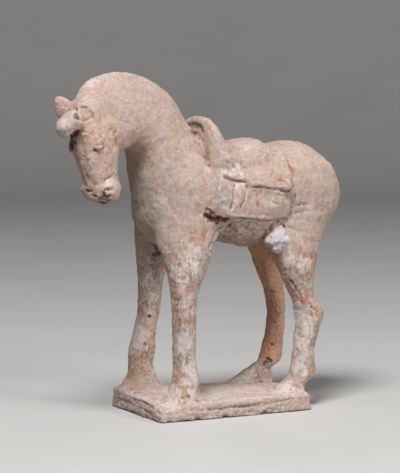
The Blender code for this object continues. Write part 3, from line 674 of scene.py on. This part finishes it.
def flaked(points, finishes):
    """Where the slip is lost and where it lies thickly, the latter partly painted light: in streaks on
    the legs, fainter above.
    """
    x, y, z = points.T
    legs = falling(z, *LEG_SLIP_ENDS)
    right_hind = ramp(x, 30, 45) * ramp(y, -4, 6)
    on_legs = ramp(z, *LEGS_START) * legs * (1 - right_hind)
    torn = cloud(points * (1.3, 1.3, 0.5), 3.6, 5, 5)
    on_side = slab_side(points)
    layered = cloud(points * (0.5, 0.5, 1.7), 4.0, 6, 5)
    bare = (0.75 + 0.25 * legs - 0.2 * face_share(points)) * patch_mask(points, finishes, "bare")
    bare = np.maximum(bare, 0.62 * ramp(torn, 0.20, 0.60) * on_legs)
    bare = np.maximum(bare, 0.45 * ramp(layered, 0.20, 0.60) * on_side)
    thick_slip_and_light = (0.82 + 0.18 * legs) * patch_mask(points, finishes, "pale")
    slab_top = ramp(z, *SLAB_TOP_STARTS) * falling(z, *SLAB_TOP_ENDS)
    thick_slip_and_light = np.maximum(thick_slip_and_light, (0.58 + 0.3 * torn) * slab_top)
    thick_slip_and_light = np.maximum(thick_slip_and_light, 0.62 * ramp(-torn, 0.15, 0.55) * on_legs)
    thick_slip_and_light = np.maximum(thick_slip_and_light, 0.55 * ramp(-layered, -0.10, 0.45) * on_side)
    return bare * (1 - 0.5 * thick_slip_and_light), thick_slip_and_light


def slab_side(points):
    """1 on the slab's sides and 0 elsewhere."""
    x, y, z = points.T
    past_edge = np.maximum(np.abs(x) - SLAB_HALF_LENGTH, np.abs(y) - SLAB_HALF_WIDTH)
    return falling(z, *SLAB_SIDE_ENDS) * ramp(past_edge, -4, -1)


def rough_belly(points):
    """The crumpled clay left under the belly, in slanting folds."""
    x, y, z = points.T
    here = falling(z, 163, 170) * ramp(z, 136, 140) * ramp(x, -30, -14) * falling(x, 44, 58)
    slanted = points @ ((0.8, 0, -0.6), (0, 1, 0), (0.6, 0, 0.8))
    rough = np.abs(cloud(slanted * (0.5, 0.8, 1.1), 9.0, 15, 2))
    crumpled = np.abs(cloud(slanted * (0.7, 0.9, 1.2), 5.0, 23, 2))
    return here * (1.9 * rough + 0.9 * crumpled - 0.7)


def plaster_lumps(points, finishes):
    """Plaster pushed into the groin in lumps."""
    here = patch_mask(points, finishes, "plaster")
    nodules = 1 - pebbles(points, 3.4, 21) * 1.25
    return here * (0.9 * nodules + 0.1 + 0.5 * cloud(points, 2.4, 22, 2))


def worked_unevenness(points, finishes):
    """How the modelled and weathered clay stands out from a true surface, in millimetres."""
    z = points[:, 2]
    rise = lumps(points, 0.36, size=16.0, seed=11) + lumps(points, 0.32, size=6.0, seed=12)
    rise += lumps(points, 0.19, size=2.8, seed=13, octaves=2)
    # strokes of the finishing tool round the barrel and neck
    drawn = points * (0.9, 0.9, 0.4)
    rise += lumps(drawn, 0.20, size=3.2, seed=14, octaves=2) * ramp(z, *BARREL_STARTS)
    # the face, worked roughly
    creased = np.abs(lumps(points * (1.0, 1.0, 0.8), 0.45, size=5.5, seed=19))
    rise += face_share(points) * (0.10 - creased)
    rise += rough_belly(points)
    # legs and slab
    low = falling(z, *LEG_LUMPS_END)
    creased = np.abs(lumps(points, 0.36, size=4.0, seed=17, octaves=2))
    rise += low * (lumps(points, 0.36, size=7.0, seed=16) - creased)
    layers = lumps(points * (0.25, 0.25, 1.6), 0.5, size=5.0, seed=18)
    rise += slab_side(points) * (layers - 0.2 + lumps(points, 0.35, size=4.0, seed=20))
    rise += plaster_lumps(points, finishes)
    # lost slip is a thin step down
    bare, thick_slip_and_light = flaked(points, finishes)
    rise += 0.14 * thick_slip_and_light - 0.16 * bare
    # pits
    hole = ramp(-pebbles(points, 7.0, 31), -0.16, -0.08) * ramp(cloud(points, 30.0, 32, 1), -0.4, 0.2)
    return rise - 0.40 * hole


def neighbour_mean(values, pairs, counts):
    """Each point's value made the mean of its own and its neighbours'."""
    total = values.copy()
    for column in range(values.shape[1]):
        for here, there in ((0, 1), (1, 0)):
            total[:, column] += np.bincount(
                pairs[:, here], values[pairs[:, there], column], len(values)
            )
    return total / (counts + 1)[:, None]


def hollows_and_edges(thing, rounds):
    """How far each point lies under (above zero) or over its surroundings, in millimetres."""
    mesh = thing.data
    pairs = np.empty(len(mesh.edges) * 2, np.int64)
    mesh.edges.foreach_get("vertices", pairs)
    pairs = pairs.reshape(-1, 2)
    counts = np.bincount(pairs.ravel(), minlength=len(mesh.vertices))
    clay = Clay(thing)
    mean = clay.at
    for _ in range(rounds):
        mean = neighbour_mean(mean, pairs, counts)
    return ((mean - clay.at) * clay.out).sum(1)


# Blender's own tools


def alone(thing):
    bpy.ops.object.select_all(action="DESELECT")
    thing.select_set(True)
    bpy.context.view_layer.objects.active = thing


def apply_step(thing, kind, **settings):
    """Adds a modifier with these settings and applies it."""
    alone(thing)
    step = thing.modifiers.new(kind.title(), kind)
    for name, value in settings.items():
        setattr(step, name, value)
    bpy.ops.object.modifier_apply(modifier=step.name)


def merged_copy(node, name):
    """The node's mesh as a free object, its loose triangles merged."""
    thing = bpy.data.objects.new(name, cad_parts[node].data.copy())
    thing.data.name = name
    bpy.context.scene.collection.objects.link(thing)
    alone(thing)
    bpy.ops.object.mode_set(mode="EDIT")
    bpy.ops.mesh.select_all(action="SELECT")
    bpy.ops.mesh.remove_doubles(threshold=0.01 * MM)
    bpy.ops.object.mode_set(mode="OBJECT")
    return thing


def keep_in_box(thing, low, high):
    """Brings any point that stands out of the CAD box back to it."""
    flat = np.empty(len(thing.data.vertices) * 3)
    thing.data.vertices.foreach_get("co", flat)
    held = np.clip(flat.reshape(-1, 3), np.array(low) + 1e-6, np.array(high) - 1e-6)
    thing.data.vertices.foreach_set("co", held.ravel())
    thing.data.update()


def store_mark(thing, name, values):
    """Keeps a value for each point, which the material reads by name."""
    mark = thing.data.attributes.new(name, "FLOAT", "POINT")
    mark.data.foreach_set("value", np.clip(values, 0, 1).astype(np.float32))


def store_marks(thing, finishes):
    points = Clay(thing).at
    z = points[:, 2]
    bare, thick_slip_and_light = flaked(points, finishes)
    fine = hollows_and_edges(thing, 4)
    broad = hollows_and_edges(thing, 30)
    plaster = np.minimum(1, 1.8 * patch_mask(points, finishes, "plaster"))
    spared_darkening = np.maximum(0.7 * plaster, 0.8 * shallow_mask(points, finishes))
    marks = {
        "bare": bare,
        # pale: thick slip, partly painted light on the tuft and the far foreleg
        "pale": thick_slip_and_light,
        "plaster": plaster,
        # soil: grey soil, and painted shade over the breast, shoulder and throat
        "soil_and_shade": 0.8 * patch_mask(points, finishes, "soil_and_shade"),
        "warm": 0.75 * face_share(points),
        "cream": patch_mask(points, finishes, "cream"),
        "lavender": patch_mask(points, finishes, "lavender"),
        "brown": np.minimum(1, 2.0 * patch_mask(points, finishes, "brown")),
        "buff": np.minimum(1, 2.0 * patch_mask(points, finishes, "buff")),
        # stain: stains, and painted shade in hollows and under overhangs
        "stain_and_shade": np.minimum(1, 1.4 * patch_mask(points, finishes, "stain_and_shade")),
        # hollow: brown dirt and painted shade, darker the deeper a point lies under its surroundings
        "hollow": (ramp(fine, 0.08, 0.50) * 0.6 + ramp(broad, 0.4, 2.2) * 0.5) * (1 - spared_darkening),
        "worn": ramp(-fine, 0.06, 0.35),
        "cracked": (0.3 + 0.6 * falling(z, 130, 165)) * (0.25 + 0.75 * ramp(z, 18, 26)),
    }
    for name, values in marks.items():
        store_mark(thing, name, values)


def fill_shallow_hollows(clay, finishes):
    """Fills the hollows that are shallow on the real horse and, on the head, lowers their rims."""
    sunk = np.clip(hollows_and_edges(clay.thing, 60), -2, 5)
    on_head = clay.at[:, 0] < -90
    filled = 1.7 * np.maximum(sunk, 0) + 0.6 * np.minimum(sunk, 0) * on_head
    clay.raised += filled * shallow_mask(clay.at, finishes)


def worked_horse(settings):
    """The clay horse: the CAD form rounded, its details drawn in and its skin weathered."""
    horse = merged_copy(HORSE_NODE, "tomb_horse_clay")
    apply_step(horse, "SUBSURF", levels=1, render_levels=1)
    apply_step(horse, "REMESH", mode="VOXEL", voxel_size=settings.grain)
    apply_step(horse, "SMOOTH", factor=0.5, iterations=settings.softening)
    clay = Clay(horse)
    finishes = seen_finishes(horse)
    head = head_place()

    def to_far_cheek(places):
        there = [head.inverted() @ Vector(place) for place in places]
        return [tuple(head @ Vector(place)) for place in mirrored(there, 0)]

    def to_far_flank(places):
        return mirrored(places, 1)

    fill_shallow_hollows(clay, finishes)
    for seen in CHEEK_LINES:
        clay.work_seen(seen, to_far_cheek)
    for seen in SADDLE_LINES:
        clay.work_seen(seen, to_far_flank)
    for seen in HEAD_LINES + FLANK_LINES:
        clay.work_seen(seen)
    for seen in SADDLE_DABS:
        clay.work_seen_dab(seen, to_far_flank)
    for seen in HEAD_DABS + PLASTER_DABS:
        clay.work_seen_dab(seen)
    for dab in FLANK_DABS:
        clay.work_dab(dab)
    clay.raised += settings.weathering * worked_unevenness(clay.at, finishes)
    clay.press_on()
    keep_in_box(horse, *CAD_BOX)
    most = settings.most_triangles
    triangles = 2 * len(horse.data.polygons)
    if triangles > most:
        apply_step(horse, "DECIMATE", ratio=most / triangles)
        keep_in_box(horse, *CAD_BOX)
    store_marks(horse, finishes)
    horse.data.materials.clear()
    horse.data.materials.append(clay_material(settings))
    alone(horse)
    bpy.ops.object.shade_smooth()
    return horse


# Materials


class Wiring:
    """Adds nodes to a tree and joins them."""

    def __init__(self, tree):
        self.tree = tree

    def add(self, kind, inputs=None, **settings):
        node = self.tree.nodes.new("ShaderNode" + kind)
        for name, value in settings.items():
            setattr(node, name, value)
        for name, value in (inputs or {}).items():
            socket = node.inputs[name]
            if isinstance(value, bpy.types.NodeSocket):
                self.tree.links.new(value, socket)
            else:
                socket.default_value = value
        return node

    def math(self, operation, a, b=0.0, clamp=False):
        node = self.add("Math", {0: a, 1: b}, operation=operation, use_clamp=clamp)
        return node.outputs[0]

    def mix(self, share, a, b, blend="MIX"):
        node = self.add(
            "Mix", {0: share, 6: a, 7: b}, data_type="RGBA", blend_type=blend, clamp_factor=True
        )
        return node.outputs[2]

    def between(self, value, low, high):
        node = self.add(
            "MapRange", {0: value, 1: low, 2: high}, interpolation_type="SMOOTHSTEP"
        )
        return node.outputs[0]

    def noise(self, vector, scale, detail, roughness=0.55):
        node = self.add(
            "TexNoise",
            {"Vector": vector, "Scale": scale, "Detail": detail, "Roughness": roughness},
        )
        return node.outputs["Fac"]

    def mark(self, name):
        return self.add("Attribute", attribute_name=name).outputs["Fac"]


def new_group(name, inputs, outputs):
    """A node group with the named inputs (and their defaults) and outputs."""
    group = bpy.data.node_groups.new(name, "ShaderNodeTree")
    for label, kind, default in inputs:
        socket = group.interface.new_socket(label, in_out="INPUT", socket_type="NodeSocket" + kind)
        if default is not None:
            socket.default_value = default
    for label, kind in outputs:
        group.interface.new_socket(label, in_out="OUTPUT", socket_type="NodeSocket" + kind)
    start = group.nodes.new("NodeGroupInput").outputs
    end = group.nodes.new("NodeGroupOutput").inputs
    return group, Wiring(group), start, end


def torn_edge_group():
    """A soft mark broken up into the ragged edge of flaking slip."""
    group, wire, start, end = new_group(
        "torn_edge",
        (
            ("Mark", "Float", 0.0),
            ("Vector", "Vector", None),
            ("Scale", "Float", 600.0),
            ("Ragged", "Float", 0.5),
        ),
        (("Mask", "Float"),),
    )
    noise = wire.noise(start["Vector"], start["Scale"], detail=3.0, roughness=0.6)
    shift = wire.math("MULTIPLY", wire.math("SUBTRACT", noise, 0.5), start["Ragged"])
    shifted = wire.math("ADD", start["Mark"], wire.math("MULTIPLY", shift, 2.0))
    group.links.new(wire.between(shifted, 0.22, 0.86), end["Mask"])
    return group


def clay_grain_group():
    """Fine pits, grit and wiped streaks: a height, and masks of dark specks and of mottling."""
    group, wire, start, end = new_group(
        "clay_grain",
        (("Vector", "Vector", None),),
        (("Height", "Float"), ("Specks", "Float"), ("Mottle", "Float"), ("Cracks", "Float")),
    )
    vector = start["Vector"]
    grit = wire.noise(vector, scale=1400.0, detail=4.0, roughness=0.65)
    fine = wire.noise(vector, scale=420.0, detail=5.0, roughness=0.6)
    pit = wire.add("TexVoronoi", {"Vector": vector, "Scale": 330.0, "Randomness": 1.0})
    depth = wire.between(pit.outputs["Distance"], 0.05, 0.28)
    stretched = wire.add("Mapping", {"Vector": vector, "Scale": (1.2, 1.2, 0.4)}).outputs[0]
    streaks = wire.noise(stretched, scale=700.0, detail=3.0, roughness=0.6)
    height = wire.math("ADD", wire.math("MULTIPLY", grit, 0.35), wire.math("MULTIPLY", fine, 0.8))
    height = wire.math("ADD", height, wire.math("MULTIPLY", depth, 0.25))
    height = wire.math("ADD", height, wire.math("MULTIPLY", streaks, 0.25))
    group.links.new(height, end["Height"])
    speck = wire.add("TexVoronoi", {"Vector": vector, "Scale": 210.0, "Randomness": 1.0})
    dot = wire.between(speck.outputs["Distance"], 0.16, 0.06)
    some = wire.between(wire.noise(vector, scale=120.0, detail=2.0), 0.52, 0.62)
    group.links.new(wire.math("MULTIPLY", dot, some), end["Specks"])
    mottle = wire.math("ADD", wire.math("MULTIPLY", fine, 0.45), wire.math("MULTIPLY", grit, 0.30))
    mottle = wire.math("ADD", mottle, wire.math("MULTIPLY", streaks, 0.25))
    group.links.new(mottle, end["Mottle"])
    upright = wire.add("Mapping", {"Vector": vector, "Scale": (1.3, 1.3, 0.5)}).outputs[0]
    veins = wire.noise(upright, scale=120.0, detail=6.0, roughness=0.65)
    middle = wire.math("SUBTRACT", veins, 0.5)
    vein = wire.between(wire.math("ABSOLUTE", middle), 0.026, 0.006)
    some = wire.between(wire.noise(vector, scale=60.0, detail=3.0), 0.44, 0.56)
    group.links.new(wire.math("MULTIPLY", vein, some), end["Cracks"])
    return group


def clay_material(settings):
    material = bpy.data.materials.new("weathered_clay")
    material.use_nodes = True
    tree = material.node_tree
    wire = Wiring(tree)
    shader = tree.nodes["Principled BSDF"]
    place = wire.add("TexCoord").outputs["Object"]
    torn = torn_edge_group()
    grain = wire.add("Group", node_tree=clay_grain_group())
    tree.links.new(place, grain.inputs["Vector"])

    def patch(name, ragged, scale=600.0):
        node = wire.add("Group", node_tree=torn)
        tree.links.new(wire.mark(name), node.inputs["Mark"])
        tree.links.new(place, node.inputs["Vector"])
        node.inputs["Scale"].default_value = scale
        node.inputs["Ragged"].default_value = ragged
        return node.outputs["Mask"]

    def tint(colour):
        return (*colour, 1.0)

    broad = wire.between(wire.noise(place, scale=34.0, detail=3.0), 0.36, 0.64)
    colour = wire.mix(broad, tint(settings.slip), tint(settings.slip_pink))
    scatter = (
        # scale, detail, where it starts and is full, colour, strength
        (60.0, 8.0, 0.40, 0.66, settings.slip_grey, 0.50),
        (42.0, 8.0, 0.52, 0.72, settings.bare, 0.28),
        (130.0, 8.0, 0.50, 0.72, settings.pale, 0.32),
        (210.0, 8.0, 0.50, 0.70, settings.soil_and_shade, 0.40),
    )
    for k, (scale, detail, low, high, shade, strength) in enumerate(scatter):
        shifted = wire.add("VectorMath", {0: place, 1: (0.1 * k, 0.2 * k, 0.3)}, operation="ADD")
        spread = wire.noise(shifted.outputs[0], scale, detail, roughness=0.72)
        mask = wire.between(spread, low, high)
        colour = wire.mix(wire.math("MULTIPLY", mask, strength), colour, tint(shade))
    layers = (
        # mark, raggedness, scale, colour, strength
        ("warm", 0.7, 150.0, settings.warm, 0.75),
        ("cream", 0.6, 420.0, settings.cream, 0.65),
        ("buff", 0.3, 300.0, settings.buff, 0.80),
        ("brown", 0.3, 260.0, settings.brown, 0.92),
        # grey soil, and painted shade over the breast, shoulder and throat
        ("soil_and_shade", 0.8, 420.0, settings.soil_and_shade, 0.50),
        ("lavender", 0.8, 500.0, settings.lavender, 0.80),
        ("bare", 0.8, 520.0, settings.bare, 0.78),
        # thick slip, partly painted light on the tuft and the far foreleg
        ("pale", 0.8, 520.0, settings.pale, 0.85),
        ("plaster", 0.3, 500.0, settings.plaster, 0.95),
        # stains, and painted shade in hollows and under overhangs
        ("stain_and_shade", 0.6, 620.0, settings.stain_and_shade, 0.92),
    )
    for name, ragged, scale, shade, strength in layers:
        mask = wire.math("MULTIPLY", patch(name, ragged, scale), strength)
        colour = wire.mix(mask, colour, tint(shade))
    # Brown dirt and painted shade darken the hollows
    hollow_dirt_and_shade = wire.math("MULTIPLY", wire.mark("hollow"), 0.85, clamp=True)
    colour = wire.mix(hollow_dirt_and_shade, colour, tint(settings.dirt_and_shade))
    worn = wire.math("MULTIPLY", wire.mark("worn"), 0.30)
    colour = wire.mix(worn, colour, tint(settings.pale))
    specks = wire.math("MULTIPLY", grain.outputs["Specks"], 0.60)
    colour = wire.mix(specks, colour, tint(settings.dirt_and_shade))
    cracks = wire.math("MULTIPLY", grain.outputs["Cracks"], wire.mark("cracked"))
    colour = wire.mix(wire.math("MULTIPLY", cracks, 0.75), colour, tint(settings.dirt_and_shade))
    mottle = wire.add(
        "MapRange", {0: grain.outputs["Mottle"], 1: 0.3, 2: 0.7, 3: 0.70, 4: 1.24}
    ).outputs[0]
    shade = wire.add("CombineColor", {0: mottle, 1: mottle, 2: mottle}).outputs[0]
    colour = wire.mix(1.0, colour, shade, "MULTIPLY")
    tree.links.new(colour, shader.inputs["Base Color"])
    rough = wire.add("MapRange", {0: grain.outputs["Mottle"], 1: 0.3, 2: 0.7, 3: 0.96, 4: 0.82})
    tree.links.new(rough.outputs[0], shader.inputs["Roughness"])
    shader.inputs["Specular IOR Level"].default_value = 0.25
    bump = wire.add(
        "Bump", {"Height": grain.outputs["Height"], "Strength": 0.75, "Distance": 0.8 * MM}
    )
    tree.links.new(bump.outputs[0], shader.inputs["Normal"])
    return material


def stage_material(colour):
    material = bpy.data.materials.new("studio_floor")
    material.use_nodes = True
    wire = Wiring(material.node_tree)
    shader = material.node_tree.nodes["Principled BSDF"]
    place = wire.add("TexCoord").outputs["Object"]
    uneven = wire.between(wire.noise(place, scale=6.0, detail=3.0), 0.3, 0.7)
    darker = tuple(0.96 * part for part in colour)
    shade = wire.mix(uneven, (*darker, 1), (*colour, 1))
    seen = wire.add("LightPath").outputs["Is Camera Ray"]
    dim = tuple(0.4 * part for part in colour)
    shade = wire.mix(seen, (*dim, 1), shade)
    material.node_tree.links.new(shade, shader.inputs["Base Color"])
    shader.inputs["Roughness"].default_value = 0.75
    return material


# What a user may change


def colour_setting(name, description, default):
    return FloatVectorProperty(
        name=name, description=description, default=default, size=3, subtype="COLOR", min=0, max=1
    )


class TombHorseSettings(bpy.types.PropertyGroup):
    grain: FloatProperty(
        name="Grain",
        description="Spacing of the skin's points while it is worked",
        default=0.95 * MM,
        unit="LENGTH",
        subtype="DISTANCE",
    )
    softening: IntProperty(
        name="Softening", description="How often the fused skin is smoothed", default=5
    )
    weathering: FloatProperty(
        name="Weathering",
        description="How strongly the uneven, flaked and pitted surface stands out",
        default=1.0,
        subtype="FACTOR",
    )
    most_triangles: IntProperty(
        name="Most triangles", description="The finished skin is thinned to this", default=194000
    )
    slip: colour_setting("Slip", "Buff slip over the whole horse", (0.585, 0.45, 0.365))
    slip_pink: colour_setting("Pink slip", "Pinker areas of the slip", (0.61, 0.435, 0.37))
    slip_grey: colour_setting("Grey slip", "Duller areas of the slip", (0.44, 0.35, 0.30))
    warm: colour_setting("Warm slip", "Clay showing through the slip of the face", (0.74, 0.50, 0.40))
    cream: colour_setting("Cream", "Yellowish slip on the saddle", (0.76, 0.66, 0.54))
    buff: colour_setting("Buff", "Plain clay of the old repairs", (0.51, 0.325, 0.215))
    brown: colour_setting("Brown", "The stained right hind leg", (0.70, 0.37, 0.22))
    # Grey soil, also painted shade on the breast, shoulder and throat
    soil_and_shade: colour_setting("Soil", "Grey burial soil", (0.35, 0.30, 0.275))
    lavender: colour_setting("Lavender", "Greyish paint left on the lower flap", (0.43, 0.37, 0.355))
    bare: colour_setting("Bare clay", "Orange clay where the slip has flaked", (0.55, 0.28, 0.175))
    # Pale slip, also painted highlight on the tuft and painted light on the far foreleg
    pale: colour_setting("Pale slip", "Thick pinkish white slip", (0.75, 0.64, 0.60))
    plaster: colour_setting("Plaster", "White plaster at the groin", (0.66, 0.61, 0.62))
    # Stains, also painted shade and shadow in hollows and under overhangs
    stain_and_shade: colour_setting("Stain", "Dark reddish brown stains", (0.10, 0.04, 0.025))
    # Dirt and painted shade in the hollows, and the colour of the dark specks and cracks
    dirt_and_shade: colour_setting("Dirt", "Brown dirt in the hollows", (0.16, 0.085, 0.055))


class TombHorseStageSettings(bpy.types.PropertyGroup):
    distance: FloatProperty(
        name="Camera distance",
        description="From the camera to the middle of the view",
        default=DISTANCE,
        unit="LENGTH",
        subtype="DISTANCE",
    )
    azimuth: FloatProperty(
        name="Azimuth",
        description="How far round the camera stands from the left flank",
        default=math.radians(AZIMUTH),
        subtype="ANGLE",
    )
    elevation: FloatProperty(
        name="Elevation",
        description="How high the camera stands",
        default=math.radians(ELEVATION),
        subtype="ANGLE",
    )
    aim: FloatVectorProperty(
        name="Aim",
        description="The middle of the view",
        default=AIM,
        subtype="TRANSLATION",
    )
    focal_pixels: FloatProperty(
        name="Focal length", description="In the photograph's pixels", default=FOCAL_PIXELS
    )
    floor_radius: FloatProperty(
        name="Floor radius",
        description="How far the floor lies flat round the horse",
        default=2.6,
        unit="LENGTH",
        subtype="DISTANCE",
    )
    sweep: FloatProperty(
        name="Sweep",
        description="Radius of the curve from the floor up into the backdrop",
        default=1.3,
        unit="LENGTH",
        subtype="DISTANCE",
    )
    floor_colour: colour_setting("Floor colour", "Pale floor and backdrop", (0.68, 0.67, 0.655))
    key_power: FloatProperty(
        name="Key light", description="The large soft light, in watts", default=64.0
    )
    fill_power: FloatProperty(
        name="Fill light", description="The weaker soft light, in watts", default=25.0
    )
    room_light: FloatProperty(
        name="Room light", description="Even light from all round", default=0.08
    )


def soft_light(lamp, watts, aim):
    data = bpy.data.lights.new(lamp.name, "AREA")
    data.shape = "DISK"
    data.size = lamp.width
    data.energy = watts
    light = bpy.data.objects.new(lamp.name, data)
    bpy.context.scene.collection.objects.link(light)
    direction = Vector(lamp.direction)
    light.location = aim + direction.normalized() * lamp.distance
    light.rotation_mode = "QUATERNION"
    light.rotation_quaternion = (-direction).to_track_quat("-Z", "Y")


def add_camera(settings):
    data = bpy.data.cameras.new("photograph_view")
    data.sensor_width = 36.0
    data.lens = data.sensor_width * settings.focal_pixels / max(PHOTO_WIDTH, PHOTO_HEIGHT)
    camera = bpy.data.objects.new("photograph_view", data)
    bpy.context.scene.collection.objects.link(camera)
    back = view_direction(settings.azimuth, settings.elevation)
    camera.location = Vector(settings.aim) + back * settings.distance
    camera.rotation_mode = "QUATERNION"
    camera.rotation_quaternion = (-back).to_track_quat("-Z", "Y")
    bpy.context.scene.camera = camera


def add_floor(settings):
    """A round floor that curves up into a backdrop on every side."""
    radius, sweep = settings.floor_radius, settings.sweep
    rings, curve_steps, round_steps = 8, 24, 96
    angles = [math.pi / 2 * step / curve_steps for step in range(curve_steps + 1)]
    profile = [(radius * ring / rings, 0, 0) for ring in range(rings)]
    profile += [(radius + sweep * math.sin(a), 0, sweep * (1 - math.cos(a))) for a in angles]
    profile.append((radius + sweep, 0, 2 * sweep))
    mesh = bpy.data.meshes.new("studio_floor")
    mesh.from_pydata(profile, [(k, k + 1) for k in range(len(profile) - 1)], [])
    floor = bpy.data.objects.new("studio_floor", mesh)
    bpy.context.scene.collection.objects.link(floor)
    apply_step(floor, "SCREW", steps=round_steps, render_steps=round_steps, use_merge_vertices=True)
    floor.data.materials.append(stage_material(settings.floor_colour))
    alone(floor)
    bpy.ops.object.shade_smooth()
    return floor


class TOMBHORSE_OT_clay(bpy.types.Operator):
    """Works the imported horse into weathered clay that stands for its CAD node"""

    bl_idname = "tombhorse.clay"
    bl_label = "Work the Clay Horse"

    def execute(self, context):
        horse = worked_horse(context.scene.tomb_horse)
        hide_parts(HORSE_NODE)
        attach(horse, "root")
        return {"FINISHED"}


class TOMBHORSE_OT_stage(bpy.types.Operator):
    """Sets the pale floor, the soft lights and the camera of the photograph"""

    bl_idname = "tombhorse.stage"
    bl_label = "Set the Stage"

    def execute(self, context):
        settings = context.scene.tomb_horse_stage
        add_floor(settings)
        add_camera(settings)
        aim = Vector(settings.aim)
        soft_light(KEY_LIGHT, settings.key_power, aim)
        soft_light(FILL_LIGHT, settings.fill_power, aim)
        world = bpy.data.worlds.new("studio")
        world.use_nodes = True
        background = world.node_tree.nodes["Background"]
        background.inputs["Color"].default_value = ROOM_COLOUR
        background.inputs["Strength"].default_value = settings.room_light
        context.scene.world = world
        context.scene.view_settings.view_transform = "Standard"
        return {"FINISHED"}


class TOMBHORSE_PT_panel(bpy.types.Panel):
    """Lists the horse's and the stage's settings"""

    bl_idname = "TOMBHORSE_PT_panel"
    bl_label = "Tomb Horse"
    bl_space_type = "VIEW_3D"
    bl_region_type = "UI"
    bl_category = "Tomb Horse"

    def draw(self, context):
        for operator, group in (
            (TOMBHORSE_OT_clay, context.scene.tomb_horse),
            (TOMBHORSE_OT_stage, context.scene.tomb_horse_stage),
        ):
            box = self.layout.box()
            for name in group.__annotations__:
                box.prop(group, name)
            box.operator(operator.bl_idname)


CLASSES = (
    TombHorseSettings,
    TombHorseStageSettings,
    TOMBHORSE_OT_clay,
    TOMBHORSE_OT_stage,
    TOMBHORSE_PT_panel,
)


def register():
    for kind in CLASSES:
        bpy.utils.register_class(kind)
    bpy.types.Scene.tomb_horse = PointerProperty(type=TombHorseSettings)
    bpy.types.Scene.tomb_horse_stage = PointerProperty(type=TombHorseStageSettings)


def unregister():
    del bpy.types.Scene.tomb_horse_stage
    del bpy.types.Scene.tomb_horse
    for kind in reversed(CLASSES):
        bpy.utils.unregister_class(kind)


def main():
    register()
    bpy.ops.tombhorse.clay()
    bpy.ops.tombhorse.stage()


if __name__ == "__main__":
    main()
